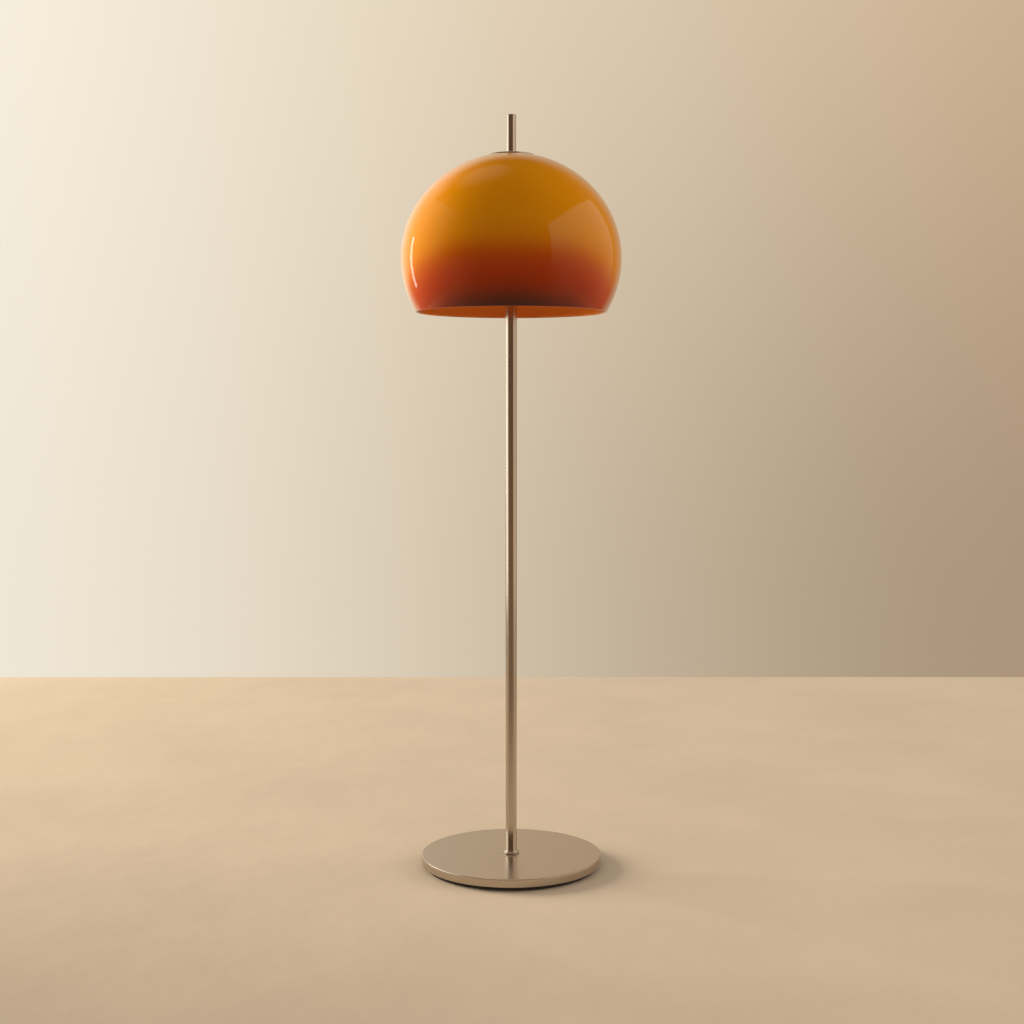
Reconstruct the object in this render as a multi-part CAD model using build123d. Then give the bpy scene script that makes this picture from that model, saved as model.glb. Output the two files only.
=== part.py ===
"""Mushroom floor lamp: glass dome shade on a slim metal stem and a round weighted base.

Millimetres.  +Z is up, the front is -Y, and the origin is the middle of the foot ring, on the floor.
The thin rod above the dome is a guide: the collar under the shade slides on it and is locked
with a thumb screw, and the shade turns freely on top of the collar.
"""
from build123d import *
from math import asin, cos, degrees, radians, sin, sqrt
import os

# ---- driving dimensions: outside of the lamp ------------------------------------------------
TOTAL_HEIGHT = 1500.0          # floor to the flat end of the guide rod
BASE_RADIUS = 181.0
BASE_TOP = 25.0                # top face of the base above the floor
BASE_GAP = 8.5                 # lower edge of the base cover above the floor
STEM_RADIUS = 11.1             # 22.2 mm tube
STEM_WALL = 1.5
STEM_TOP = 1340.0
ROD_RADIUS = 9.525             # 19.05 mm tube
ROD_WALL = 1.5
SHADE_RADIUS = 218.2           # widest point of the dome, outside
SHADE_EQUATOR = 1217.9         # height of the widest point
SHADE_RISE = 206.2             # upper half axis of the outer profile
SHADE_FALL = 208.8             # lower half axis of the outer profile
SHADE_RIM = 1113.5             # lowest point of the lip
SHADE_SEAT = 1418.5            # ground flat on top of the dome, outside
GLASS_WALL = 4.0
LIP_ANGLES = (-36.0, -72.0, -108.0, -144.0)    # corners of the rounded lip, as seen in its section
CAP_RADIUS = 45.0
CAP_THICKNESS = 2.5

# ---- clearances --------------------------------------------------------------------------------
RUNNING = 0.075                # radial clearance of a sliding or turning fit
FREE = 0.2                     # gap between faces of bodies that move apart

# ---- base --------------------------------------------------------------------------------------
COVER_WALL = 2.0
PLATE_THICKNESS = 1.5
PLATE_TOP = BASE_GAP + PLATE_THICKNESS
COVER_UNDERSIDE = BASE_TOP - COVER_WALL
FOOT_OUTER, FOOT_INNER = 172.0, 160.0
BALLAST_RADIUS = 176.0
BALLAST_TOP = COVER_UNDERSIDE - 0.2
NUT_RECESS_RADIUS, NUT_RECESS_TOP = 24.0, 19.5
WASHER_THICKNESS = 1.5
NUT_HEIGHT = 4.0
NIPPLE_RADIUS, NIPPLE_BORE = 6.5, 4.8
NIPPLE_TOP = 50.0
CHANNEL_WIDTH, CHANNEL_TOP = 11.0, 20.5
POCKET_SIZE = (40.0, 40.0)     # space for the terminal block, across and along
POCKET_Y = 90.0
TERMINAL_SIZE = (32.0, 26.0, 10.0)
CLAMP_Y = 150.0
CLAMP_SIZE = (28.0, 12.0, 2.2)
CLAMP_SCREW_X = 10.0
GROMMET_HEIGHT = 16.5          # axis of the cord entry above the floor
GROMMET_HOLE, GROMMET_BORE = 6.0, 3.4
PLATE_SCREW_CIRCLE = 140.0
PLATE_SCREW_RADIUS = 2.0
WIRE_RADIUS = 1.8
WIRE_HEIGHT = PLATE_TOP + WIRE_RADIUS + 0.2

# ---- lamp cluster ------------------------------------------------------------------------------
ARM_HEIGHT = 1310.0            # axis of the lampholders
ARM_AZIMUTHS = (90.0, 210.0, 330.0)
HUB_RADIUS, HUB_WALL = 30.0, 3.0
HUB_FLOOR = 1290.0
HUB_LID = 1326.0
HUB_NECK_BOTTOM, HUB_NECK_RADIUS = 1278.0, 17.0
HUB_TERMINAL_RADII = (13.5, 19.5)
HUB_TERMINAL_TOP = 1303.0
LID_SCREW_CIRCLE = 22.0
ARM_RADIUS, ARM_BORE = 5.0, 3.5
LOCKNUT_START, LOCKNUT_HEIGHT = 22.6, 3.0
HOLDER_START, HOLDER_LENGTH = 32.0, 56.0
HOLDER_RADIUS, HOLDER_WALL = 20.0, 2.0
INSERT_START, INSERT_LENGTH = 50.0, 14.0
CONTACT_HEIGHT = 2.0
BULB_START = INSERT_START + INSERT_LENGTH + CONTACT_HEIGHT
BULB_LENGTH, BULB_RADIUS, BULB_WALL = 95.0, 27.5, 1.2
LAMP_CAP_RADIUS, LAMP_CAP_LENGTH = 13.2, 26.0
STEM_WIRE_AZIMUTH = 30.0
STEM_WIRE_HEIGHT = 1308.0

# ---- stem top, height collar and shade carrier -------------------------------------------------
SHOULDER_RADIUS, SHOULDER_HEIGHT = 14.5, 6.0
COLLAR_BOTTOM = STEM_TOP + SHOULDER_HEIGHT + FREE
COLLAR_TOP = 1370.0
COLLAR_RADIUS, BUSH_RADIUS = 18.0, 12.0
THRUST_THICKNESS = 2.0
SLEEVE_BOTTOM = COLLAR_TOP + THRUST_THICKNESS + FREE
SLEEVE_RADIUS, SLEEVE_NECK = 13.5, 12.0
GLIDE_BORE = ROD_RADIUS + RUNNING
SHADE_HOLE = 15.0
GASKET = 1.0
CAP_BOTTOM = SHADE_SEAT + GASKET
CAP_TOP = CAP_BOTTOM + CAP_THICKNESS
CLAMP_WASHER_RADIUS, CLAMP_WASHER_THICKNESS = 31.0, 2.0
RING_NUT_RADIUS, RING_NUT_HEIGHT = 22.0, 8.0
LOCK_HEIGHT = 1358.0
LOCK_BOSS_RADIUS, LOCK_BOSS_END = 7.0, 24.0
LOCK_THREAD = 3.0              # radius of the threaded hole
KNOB_RADIUS, KNOB_LENGTH = 11.0, 12.0
KNOB_FLUTES = 12

BOTTOM = (Align.CENTER, Align.CENTER, Align.MIN)


# ---- shared shapes -----------------------------------------------------------------------------
def rod(radius, low, high):
    """Round bar about the lamp's axis, from one height to another."""
    return Pos(0, 0, low) * Cylinder(radius, high - low, align=BOTTOM)


def ring(outer, inner, low, high):
    """Plain tube, bush or washer about the lamp's axis."""
    return rod(outer, low, high) - rod(inner, low, high)


def turned(*outline):
    """Part turned about Z from an outline of radius and height points."""
    return revolve(Plane.XZ * make_face(Polyline(*outline, close=True)), Axis.Z)


def turned_face(lines, axis, plane):
    """Part turned about an axis from an outline of lines and arcs."""
    return revolve(plane * make_face(lines), axis)


def block(size, centre_x, centre_y, low):
    """Square-cornered block that stands on a height."""
    return Pos(centre_x, centre_y, low) * Box(*size, align=BOTTOM)


def copies(places, solid, height=0.0):
    """Copies of a part at a set of places, lifted to a height."""
    return [Pos(0, 0, height) * copy for copy in places * solid]


def group(solids):
    """Several separate solids that make one node."""
    return Compound(children=list(solids))


def hexagon(across_flats, low, high, bore):
    """Hexagon nut about the lamp's axis."""
    prism = extrude(RegularPolygon(across_flats / 2, 6, major_radius=False), high - low)
    return Pos(0, 0, low) * prism - rod(bore, low, high)


def along_x(solid, start=0.0):
    """Lays a part that was built about Z along +X, from a distance to the axis."""
    return Pos(start, 0, 0) * Rot(0, 90, 0) * solid


def on_arm(solid, azimuth):
    """Brings a part that was built along +X to its arm of the lamp cluster."""
    return Pos(0, 0, ARM_HEIGHT) * Rot(0, 0, azimuth) * solid


def on_lock_axis(solid):
    """Brings a part that was built along +X to the front of the height collar."""
    return Pos(0, 0, LOCK_HEIGHT) * Rot(0, 0, -90) * solid


def wire(points, radii):
    """Bundle of cores in a woven sleeve, eight-sided, along straight runs joined by arcs."""
    path = FilletPolyline(*points, radius=radii)
    start = Plane(origin=path @ 0, z_dir=path % 0)
    return sweep(start * RegularPolygon(WIRE_RADIUS, 8), path)


# ---- base --------------------------------------------------------------------------------------
def foot_ring():
    """Rubber ring that carries the lamp, with chamfered edges on the floor."""
    chamfer_size = 1.0
    return turned(
        (FOOT_INNER, BASE_GAP), (FOOT_INNER, chamfer_size), (FOOT_INNER + chamfer_size, 0),
        (FOOT_OUTER - chamfer_size, 0), (FOOT_OUTER, chamfer_size), (FOOT_OUTER, BASE_GAP))


def plate_screw_places():
    """Four places on the screw circle of the bottom plate."""
    return PolarLocations(PLATE_SCREW_CIRCLE, 4, start_angle=45)


def base_bottom_plate():
    """Sheet-steel disc that closes the base, with countersunk screw holes."""
    plate = rod(BASE_RADIUS - COVER_WALL - 0.4, BASE_GAP, PLATE_TOP)
    hole = Cone(2 * PLATE_SCREW_RADIUS, PLATE_SCREW_RADIUS, PLATE_THICKNESS, align=BOTTOM)
    return plate - copies(plate_screw_places(), hole, BASE_GAP)


def plate_screws():
    """Countersunk screws of the bottom plate, as one group of separate solids."""
    thread_length = 8.0
    head = Cone(2 * PLATE_SCREW_RADIUS, PLATE_SCREW_RADIUS, PLATE_THICKNESS, align=BOTTOM)
    shank = Pos(0, 0, PLATE_THICKNESS) * Cylinder(PLATE_SCREW_RADIUS, thread_length, align=BOTTOM)
    return group(copies(plate_screw_places(), head + shank, BASE_GAP))


def ballast_weight():
    """Cast-iron disc with a nut recess, a wiring pocket, cord channels and screw holes."""
    depth = CHANNEL_TOP - PLATE_TOP
    channel_end = BALLAST_RADIUS + 2
    clamp_depth = CLAMP_SIZE[2] + 0.2
    disc = rod(BALLAST_RADIUS, PLATE_TOP, BALLAST_TOP)
    disc -= rod(NIPPLE_RADIUS + 0.5, PLATE_TOP, BALLAST_TOP)
    disc -= rod(NUT_RECESS_RADIUS, PLATE_TOP, NUT_RECESS_TOP)
    disc -= block((CHANNEL_WIDTH, channel_end, depth), 0, channel_end / 2, PLATE_TOP)
    disc -= block((*POCKET_SIZE, depth), 0, POCKET_Y, PLATE_TOP)
    disc -= block((CLAMP_SIZE[0] + 1, CLAMP_SIZE[1] + 1, clamp_depth), 0, CLAMP_Y, PLATE_TOP)
    disc -= block((18, 8, BALLAST_TOP - PLATE_TOP), 0, BALLAST_RADIUS - 1, PLATE_TOP)
    return disc - copies(plate_screw_places(), Cylinder(PLATE_SCREW_RADIUS, 9, align=BOTTOM), PLATE_TOP)


def base_cover():
    """Spun steel cover: flat top, rolled upper edge, straight side, holes for stem and cord."""
    edge_radius = 2.0
    outer = rod(BASE_RADIUS, BASE_GAP, BASE_TOP)
    outer = fillet(outer.edges().group_by(Axis.Z)[-1], edge_radius)
    cover = outer - rod(BASE_RADIUS - COVER_WALL, BASE_GAP, COVER_UNDERSIDE)
    cover -= rod(NIPPLE_RADIUS + 0.2, COVER_UNDERSIDE, BASE_TOP)
    cord_hole = Pos(0, BASE_RADIUS, GROMMET_HEIGHT) * Rot(90, 0, 0) * Cylinder(GROMMET_HOLE, 12)
    return cover - cord_hole


def cable_grommet():
    """Rubber grommet of the cord entry, at the back of the base."""
    outside, inside = BASE_RADIUS + 1.5, BASE_RADIUS - COVER_WALL - 1.7
    wall_out, wall_in = BASE_RADIUS, BASE_RADIUS - COVER_WALL - 0.2
    outline = Polyline(
        (inside, GROMMET_BORE), (outside, GROMMET_BORE), (outside, GROMMET_HOLE + 0.5),
        (wall_out, GROMMET_HOLE + 1.5), (wall_out, GROMMET_HOLE - 0.1),
        (wall_in, GROMMET_HOLE - 0.1), (wall_in, GROMMET_HOLE + 0.4), (inside, GROMMET_HOLE + 0.4),
        close=True)
    grommet = turned_face(outline, Axis.X, Plane.XY)
    return Pos(0, 0, GROMMET_HEIGHT) * Rot(0, 0, 90) * grommet


def cord_clamp():
    """Strap that grips the supply cord in the channel of the ballast."""
    width, length, height = CLAMP_SIZE
    strap = block((width, length, height), 0, CLAMP_Y, PLATE_TOP + 0.1)
    grip = block((8, length / 3, 1.2), 0, CLAMP_Y, PLATE_TOP + 0.1 + height)
    holes = [Pos(x, CLAMP_Y, PLATE_TOP) * Cylinder(1.6, 6, align=BOTTOM) for x in clamp_screw_xs()]
    return strap + grip - holes


def clamp_screw_xs():
    """The two sides of the cord clamp."""
    return (-CLAMP_SCREW_X, CLAMP_SCREW_X)


def cord_clamp_screws():
    """Shanks of the two clamp screws, flush with the strap."""
    shank = Cylinder(1.5, CLAMP_SIZE[2], align=BOTTOM)
    return group(Pos(x, CLAMP_Y, PLATE_TOP + 0.1) * shank for x in clamp_screw_xs())


def terminal_block():
    """Three-way terminal block on the roof of the wiring pocket."""
    width, length, height = TERMINAL_SIZE
    low = CHANNEL_TOP - height
    body = block((width, length, height), 0, POCKET_Y, low)
    way = width / 4
    for x in (-way, 0, way):
        for y in (-length / 4, length / 4):
            body -= block((4.0, 4.0, 3.0), x, POCKET_Y + y, low)
    return body


def stem_nipple():
    """Hollow threaded tube that ties the stem, the cover and the ballast together."""
    low = NUT_RECESS_TOP - WASHER_THICKNESS - NUT_HEIGHT
    return ring(NIPPLE_RADIUS, NIPPLE_BORE, low, NIPPLE_TOP)


def stem_washer():
    """Wide washer between the nut and the ballast."""
    return ring(NUT_RECESS_RADIUS - 2, NIPPLE_RADIUS, NUT_RECESS_TOP - WASHER_THICKNESS, NUT_RECESS_TOP)


def stem_nut():
    """Thin hexagon nut on the lower end of the nipple."""
    high = NUT_RECESS_TOP - WASHER_THICKNESS
    return hexagon(19, high - NUT_HEIGHT, high, NIPPLE_RADIUS)


def stem_foot_bushing():
    """Threaded plug pressed into the foot of the stem."""
    return ring(STEM_RADIUS - STEM_WALL, NIPPLE_RADIUS, BASE_TOP, NIPPLE_TOP - 4)


def foot_collar():
    """Beaded ring round the foot of the stem."""
    inner = STEM_RADIUS + 0.05
    return turned(
        (inner, BASE_TOP), (14.8, BASE_TOP), (15.6, BASE_TOP + 0.8), (15.9, BASE_TOP + 1.8),
        (15.6, BASE_TOP + 2.8), (14.9, BASE_TOP + 3.6), (12.4, BASE_TOP + 6.6), (inner, BASE_TOP + 6.6))


# ---- stem --------------------------------------------------------------------------------------
def stem_tube():
    """Long tube from the base to the guide rod, with a wire hole inside the hub."""
    tube = ring(STEM_RADIUS, STEM_RADIUS - STEM_WALL, BASE_TOP, STEM_TOP)
    wire_hole = along_x(Cylinder(WIRE_RADIUS + 1.2, 2 * STEM_RADIUS, align=BOTTOM))
    return tube - Pos(0, 0, STEM_WIRE_HEIGHT) * Rot(0, 0, STEM_WIRE_AZIMUTH) * wire_hole


def stem_top_bushing():
    """Turned joint between stem and guide rod: spigot, stop shoulder and stud."""
    spigot = STEM_RADIUS - STEM_WALL
    stud = ROD_RADIUS - ROD_WALL
    return turned(
        (0, STEM_TOP - 18), (spigot, STEM_TOP - 18), (spigot, STEM_TOP), (SHOULDER_RADIUS - 1, STEM_TOP),
        (SHOULDER_RADIUS, STEM_TOP + 1), (SHOULDER_RADIUS, STEM_TOP + SHOULDER_HEIGHT),
        (stud, STEM_TOP + SHOULDER_HEIGHT), (stud, STEM_TOP + 24), (0, STEM_TOP + 24))


def guide_rod():
    """Tube above the stem on which the height collar slides."""
    return ring(ROD_RADIUS, ROD_RADIUS - ROD_WALL, STEM_TOP + SHOULDER_HEIGHT, TOTAL_HEIGHT - 1.5)


def rod_end_plug():
    """Flat plug that closes the top of the guide rod."""
    neck = ROD_RADIUS - ROD_WALL
    lip = TOTAL_HEIGHT - 1.5
    return turned(
        (0, lip - 10), (neck, lip - 10), (neck, lip), (ROD_RADIUS, lip),
        (ROD_RADIUS, TOTAL_HEIGHT - 0.4), (ROD_RADIUS - 0.4, TOTAL_HEIGHT), (0, TOTAL_HEIGHT))


# ---- lamp cluster ------------------------------------------------------------------------------
def hub_body():
    """Cup round the stem: clamping neck below, wiring space inside, a hole for each arm."""
    bore = STEM_RADIUS + 0.1
    inner = HUB_RADIUS - HUB_WALL
    edge = 4.0
    cup = turned(
        (bore, HUB_NECK_BOTTOM), (HUB_NECK_RADIUS - 1, HUB_NECK_BOTTOM), (HUB_NECK_RADIUS, HUB_NECK_BOTTOM + 1),
        (HUB_NECK_RADIUS, HUB_FLOOR), (HUB_RADIUS - edge, HUB_FLOOR), (HUB_RADIUS, HUB_FLOOR + edge),
        (HUB_RADIUS, HUB_LID), (inner, HUB_LID), (inner, HUB_FLOOR + HUB_WALL), (bore, HUB_FLOOR + HUB_WALL))
    arm_hole = along_x(Cylinder(ARM_RADIUS, HUB_RADIUS, align=BOTTOM), HUB_RADIUS / 2)
    for azimuth in ARM_AZIMUTHS:
        cup -= on_arm(arm_hole, azimuth)
    return cup - grub_screw_hole()


def grub_screw_hole():
    """Radial hole in the hub's neck, at the front."""
    return Pos(0, 0, HUB_NECK_BOTTOM + 6) * Rot(0, 0, -90) * along_x(Cylinder(2.5, 20, align=BOTTOM))


def hub_grub_screw():
    """Set screw that holds the hub at its height on the stem."""
    length = 5.2
    screw = Cylinder(2.5, length, align=BOTTOM) - Pos(0, 0, length - 2) * Cylinder(1.3, 2, align=BOTTOM)
    return Pos(0, 0, HUB_NECK_BOTTOM + 6) * Rot(0, 0, -90) * along_x(screw, STEM_RADIUS + 0.2)


def lid_screw_places():
    """Three places on the hub's lid, between the arms."""
    return PolarLocations(LID_SCREW_CIRCLE, 3, start_angle=30)


def hub_cover():
    """Lid of the hub, with a locating lip and screw holes."""
    thickness, lip = 3.0, 2.0
    inner = HUB_RADIUS - HUB_WALL - 0.1
    lid = turned(
        (STEM_RADIUS + 0.1, HUB_LID), (inner - 1.5, HUB_LID), (inner - 1.5, HUB_LID - lip), (inner, HUB_LID - lip),
        (inner, HUB_LID), (HUB_RADIUS, HUB_LID), (HUB_RADIUS, HUB_LID + thickness - 1),
        (HUB_RADIUS - 1, HUB_LID + thickness), (STEM_RADIUS + 0.1, HUB_LID + thickness))
    hole = Cylinder(1.6, 2 * thickness)
    return lid - copies(lid_screw_places(), hole, HUB_LID)


def hub_cover_screws():
    """Pan-head screws of the hub's lid, as one group."""
    head = Pos(0, 0, 3) * Cylinder(2.8, 1.8, align=BOTTOM)
    shank = Cylinder(1.5, 3, align=BOTTOM)
    return group(copies(lid_screw_places(), head + shank, HUB_LID))


def hub_terminal():
    """Ceramic ring terminal on the hub's floor, where the cores of the arms are joined."""
    inner, outer = HUB_TERMINAL_RADII
    return ring(outer, inner, HUB_FLOOR + HUB_WALL, HUB_TERMINAL_TOP)


def arm_nipple(azimuth):
    """Hollow threaded arm between the hub and a lampholder."""
    length = HOLDER_START + 8 - LOCKNUT_START
    tube = Cylinder(ARM_RADIUS, length, align=BOTTOM) - Cylinder(ARM_BORE, length, align=BOTTOM)
    return on_arm(along_x(tube, LOCKNUT_START), azimuth)


def arm_locknuts():
    """Hexagon nuts that hold the arms from inside the hub, as one group."""
    nut = along_x(hexagon(14, 0, LOCKNUT_HEIGHT, ARM_RADIUS), LOCKNUT_START)
    return group(on_arm(nut, azimuth) for azimuth in ARM_AZIMUTHS)


def lampholder_shell(azimuth):
    """Holder shell: threaded neck, domed cap and open skirt."""
    neck, neck_end, dome_end = 8.0, HOLDER_START + 8, INSERT_START
    end = HOLDER_START + HOLDER_LENGTH
    inner = HOLDER_RADIUS - HOLDER_WALL
    outline = Line((HOLDER_START, ARM_RADIUS), (HOLDER_START, neck))
    outline += Line((HOLDER_START, neck), (neck_end - 2, neck))
    outline += ThreePointArc((neck_end - 2, neck), (neck_end + 5, 15.5), (dome_end, HOLDER_RADIUS))
    outline += Line((dome_end, HOLDER_RADIUS), (end - 2, HOLDER_RADIUS))
    outline += Line((end - 2, HOLDER_RADIUS), (end, HOLDER_RADIUS - 1))
    outline += Line((end, HOLDER_RADIUS - 1), (end, inner))
    outline += Line((end, inner), (dome_end, inner))
    outline += Line((dome_end, inner), (neck_end, ARM_RADIUS + 3))
    outline += Line((neck_end, ARM_RADIUS + 3), (neck_end, ARM_RADIUS))
    outline += Line((neck_end, ARM_RADIUS), (HOLDER_START, ARM_RADIUS))
    return on_arm(turned_face(outline, Axis.X, Plane.XY), azimuth)


def lampholder_insert(azimuth):
    """Ceramic insert with the centre contact, inside the shell."""
    radius = HOLDER_RADIUS - HOLDER_WALL - 0.3
    disc = Cylinder(radius, INSERT_LENGTH, align=BOTTOM)
    disc += Pos(0, 0, INSERT_LENGTH) * Cylinder(3.5, CONTACT_HEIGHT, align=BOTTOM)
    disc -= Cylinder(WIRE_RADIUS + 0.1, INSERT_LENGTH - 4, align=BOTTOM)
    return on_arm(along_x(disc, INSERT_START), azimuth)


def bulb_cap(azimuth):
    """Metal screw cap of the bulb, 27 mm across the thread."""
    end = BULB_START + LAMP_CAP_LENGTH
    wall = LAMP_CAP_RADIUS - 1.2
    outline = Polyline(
        (BULB_START, 0), (BULB_START, 4.5), (BULB_START + 1.5, 5.0), (BULB_START + 4, LAMP_CAP_RADIUS),
        (end, LAMP_CAP_RADIUS), (end, wall), (BULB_START + 5, wall), (BULB_START + 5, 0), close=True)
    return on_arm(turned_face(outline, Axis.X, Plane.XY), azimuth)


def bulb_outline(radius, start, end, neck):
    """Half profile of the bulb from its neck to its tip."""
    crown = end - radius
    flank = Spline((start, neck), (crown, radius), tangents=[(1, 0.15), (1, 0)])
    tip = Spline(
        (crown, radius), (crown + radius * sin(radians(45)), radius * cos(radians(45))), (end, 0),
        tangents=[(1, 0), (0, -1)])
    return flank + tip


def bulb_globe(azimuth):
    """Hollow opal bulb, its neck seated in the screw cap."""
    cap_end = BULB_START + LAMP_CAP_LENGTH
    neck = LAMP_CAP_RADIUS - 1.3
    tip = BULB_START + BULB_LENGTH
    outer = bulb_outline(BULB_RADIUS, cap_end, tip, neck)
    inner = bulb_outline(BULB_RADIUS - BULB_WALL, cap_end, tip - BULB_WALL, neck - BULB_WALL)
    outline = outer + Line((tip, 0), (tip - BULB_WALL, 0)) + inner
    outline += Polyline(
        (cap_end, neck - BULB_WALL), (cap_end - 8, neck - BULB_WALL), (cap_end - 8, neck), (cap_end, neck))
    return on_arm(turned_face(outline, Axis.X, Plane.XY), azimuth)


def supply_wire():
    """Core bundle from the terminal block, up through the stem, to the hub's terminal."""
    outward = (cos(radians(STEM_WIRE_AZIMUTH)), sin(radians(STEM_WIRE_AZIMUTH)))
    start_y = POCKET_Y - TERMINAL_SIZE[1] / 2
    end_radius = sum(HUB_TERMINAL_RADII) / 2
    points = [
        (0, start_y, WIRE_HEIGHT), (0, 0, WIRE_HEIGHT), (0, 0, STEM_WIRE_HEIGHT),
        (end_radius * outward[0], end_radius * outward[1], STEM_WIRE_HEIGHT),
        (end_radius * outward[0], end_radius * outward[1], HUB_TERMINAL_TOP)]
    return wire(points, [6, 8, 4.5])


def holder_wire(azimuth):
    """Core bundle from the hub's terminal through an arm to its lampholder."""
    start = sum(HUB_TERMINAL_RADII) / 2
    points = [
        (start, 0, HUB_TERMINAL_TOP - ARM_HEIGHT), (start, 0, 0), (INSERT_START + INSERT_LENGTH - 4, 0, 0)]
    return on_arm(wire(points, [6.5]), azimuth)


# ---- height collar and lock screw --------------------------------------------------------------
def lock_hole(radius):
    """Radial hole of the lock screw, from the rod outwards."""
    return on_lock_axis(along_x(Cylinder(radius, 40, align=BOTTOM)))


def height_collar():
    """Sliding collar with a threaded boss for the lock screw."""
    collar = ring(COLLAR_RADIUS, BUSH_RADIUS, COLLAR_BOTTOM, COLLAR_TOP)
    boss = along_x(Cylinder(LOCK_BOSS_RADIUS, LOCK_BOSS_END - BUSH_RADIUS - 1, align=BOTTOM), BUSH_RADIUS + 1)
    collar += on_lock_axis(boss) - rod(BUSH_RADIUS + 1, COLLAR_BOTTOM, COLLAR_TOP)
    return collar - lock_hole(LOCK_THREAD)


def collar_bush():
    """Nylon bush that slides on the guide rod, with a hole for the pressure pad."""
    return ring(BUSH_RADIUS, GLIDE_BORE, COLLAR_BOTTOM, COLLAR_TOP) - lock_hole(LOCK_THREAD)


def pressure_pad():
    """Nylon pad between the lock screw and the guide rod."""
    start = ROD_RADIUS + 0.3
    return on_lock_axis(along_x(Cylinder(LOCK_THREAD - 0.1, BUSH_RADIUS + 1.5 - start, align=BOTTOM), start))


def thrust_washer():
    """Low-friction washer that the shade turns on."""
    return ring(COLLAR_RADIUS - 1, ROD_RADIUS + 0.3, COLLAR_TOP, COLLAR_TOP + THRUST_THICKNESS)


def lock_screw():
    """Thumb screw: plain shank and a fluted knob."""
    shank_start = BUSH_RADIUS + 1.6
    knob_start = LOCK_BOSS_END + 0.4
    shank = Cylinder(LOCK_THREAD - RUNNING, knob_start - shank_start + 1, align=BOTTOM)
    knob = chamfer(Cylinder(KNOB_RADIUS, KNOB_LENGTH, align=BOTTOM).edges().filter_by(GeomType.CIRCLE), 1.0)
    flute = Cylinder(1.8, KNOB_LENGTH, align=BOTTOM)
    knob -= copies(PolarLocations(KNOB_RADIUS + 0.6, KNOB_FLUTES), flute)
    knob -= Pos(0, 0, KNOB_LENGTH - 1) * Cylinder(KNOB_RADIUS - 4, 1, align=BOTTOM)
    return on_lock_axis(along_x(shank, shank_start) + along_x(knob, knob_start))


# ---- shade and its carrier ---------------------------------------------------------------------
def dome_arcs(radius, rise, fall, seat, rim):
    """Upper and lower elliptical arcs of one side of the glass, and the ends of both."""
    seat_angle = degrees(asin((seat - SHADE_EQUATOR) / rise))
    rim_angle = degrees(asin((SHADE_EQUATOR - rim) / fall))
    seat_radius = radius * sqrt(1 - ((seat - SHADE_EQUATOR) / rise) ** 2)
    rim_radius = radius * sqrt(1 - ((SHADE_EQUATOR - rim) / fall) ** 2)
    upper = EllipticalCenterArc((0, SHADE_EQUATOR), radius, rise, seat_angle, arc_size=-seat_angle)
    lower = EllipticalCenterArc((0, SHADE_EQUATOR), radius, fall, 0, arc_size=-rim_angle)
    return upper + lower, (seat_radius, seat), (rim_radius, rim)


def shade():
    """Blown glass dome: ground seat and hole on top, fire-polished lip below."""
    lip = GLASS_WALL / 2
    rim = SHADE_RIM + lip / 2
    outer, outer_seat, outer_rim = dome_arcs(SHADE_RADIUS, SHADE_RISE, SHADE_FALL, SHADE_SEAT, rim)
    slope = SHADE_RADIUS * (SHADE_EQUATOR - rim) / SHADE_FALL ** 2 / sqrt(
        1 - ((SHADE_EQUATOR - rim) / SHADE_FALL) ** 2)
    inner_rim_height = rim + GLASS_WALL * slope / sqrt(1 + slope ** 2)
    inner, inner_seat, inner_rim = dome_arcs(
        SHADE_RADIUS - GLASS_WALL, SHADE_RISE - GLASS_WALL, SHADE_FALL - GLASS_WALL,
        SHADE_SEAT - GLASS_WALL, inner_rim_height)
    middle = ((outer_rim[0] + inner_rim[0]) / 2, (outer_rim[1] + inner_rim[1]) / 2)
    steepness = degrees(asin(slope / sqrt(1 + slope ** 2)))
    lip_points = [
        (middle[0] + lip * cos(radians(angle - steepness)), middle[1] + lip * sin(radians(angle - steepness)))
        for angle in LIP_ANGLES]
    outline = outer + Polyline(outer_rim, *lip_points, inner_rim) + inner
    outline += Polyline(
        inner_seat, (SHADE_HOLE, SHADE_SEAT - GLASS_WALL), (SHADE_HOLE, SHADE_SEAT), outer_seat)
    return turned_face(outline, Axis.Z, Plane.XZ)


def shade_sleeve():
    """Threaded sleeve that carries the glass and turns on the guide rod."""
    return turned(
        (GLIDE_BORE, SLEEVE_BOTTOM), (SLEEVE_RADIUS, SLEEVE_BOTTOM), (SLEEVE_RADIUS, CAP_BOTTOM),
        (SLEEVE_NECK, CAP_BOTTOM), (SLEEVE_NECK, CAP_TOP), (GLIDE_BORE, CAP_TOP))


def cap_disc():
    """Flat round cap on the dome, with a softened upper edge."""
    edge = 0.6
    return turned(
        (SLEEVE_NECK, CAP_BOTTOM), (CAP_RADIUS, CAP_BOTTOM), (CAP_RADIUS, CAP_TOP - edge),
        (CAP_RADIUS - edge, CAP_TOP), (SLEEVE_NECK, CAP_TOP))


def upper_gasket():
    """Soft washer between the cap and the glass."""
    return ring(CAP_RADIUS - 2, SHADE_HOLE, SHADE_SEAT, CAP_BOTTOM)


def under_glass(depth):
    """Height at a depth below the inner seat of the glass."""
    return SHADE_SEAT - GLASS_WALL - depth


def lower_gasket():
    """Soft washer between the glass and the clamp washer."""
    return ring(CLAMP_WASHER_RADIUS - 1, SHADE_HOLE, under_glass(GASKET), under_glass(0))


def clamp_washer():
    """Steel washer that spreads the load of the ring nut."""
    high = under_glass(GASKET)
    return ring(CLAMP_WASHER_RADIUS, SLEEVE_RADIUS, high - CLAMP_WASHER_THICKNESS, high)


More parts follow.
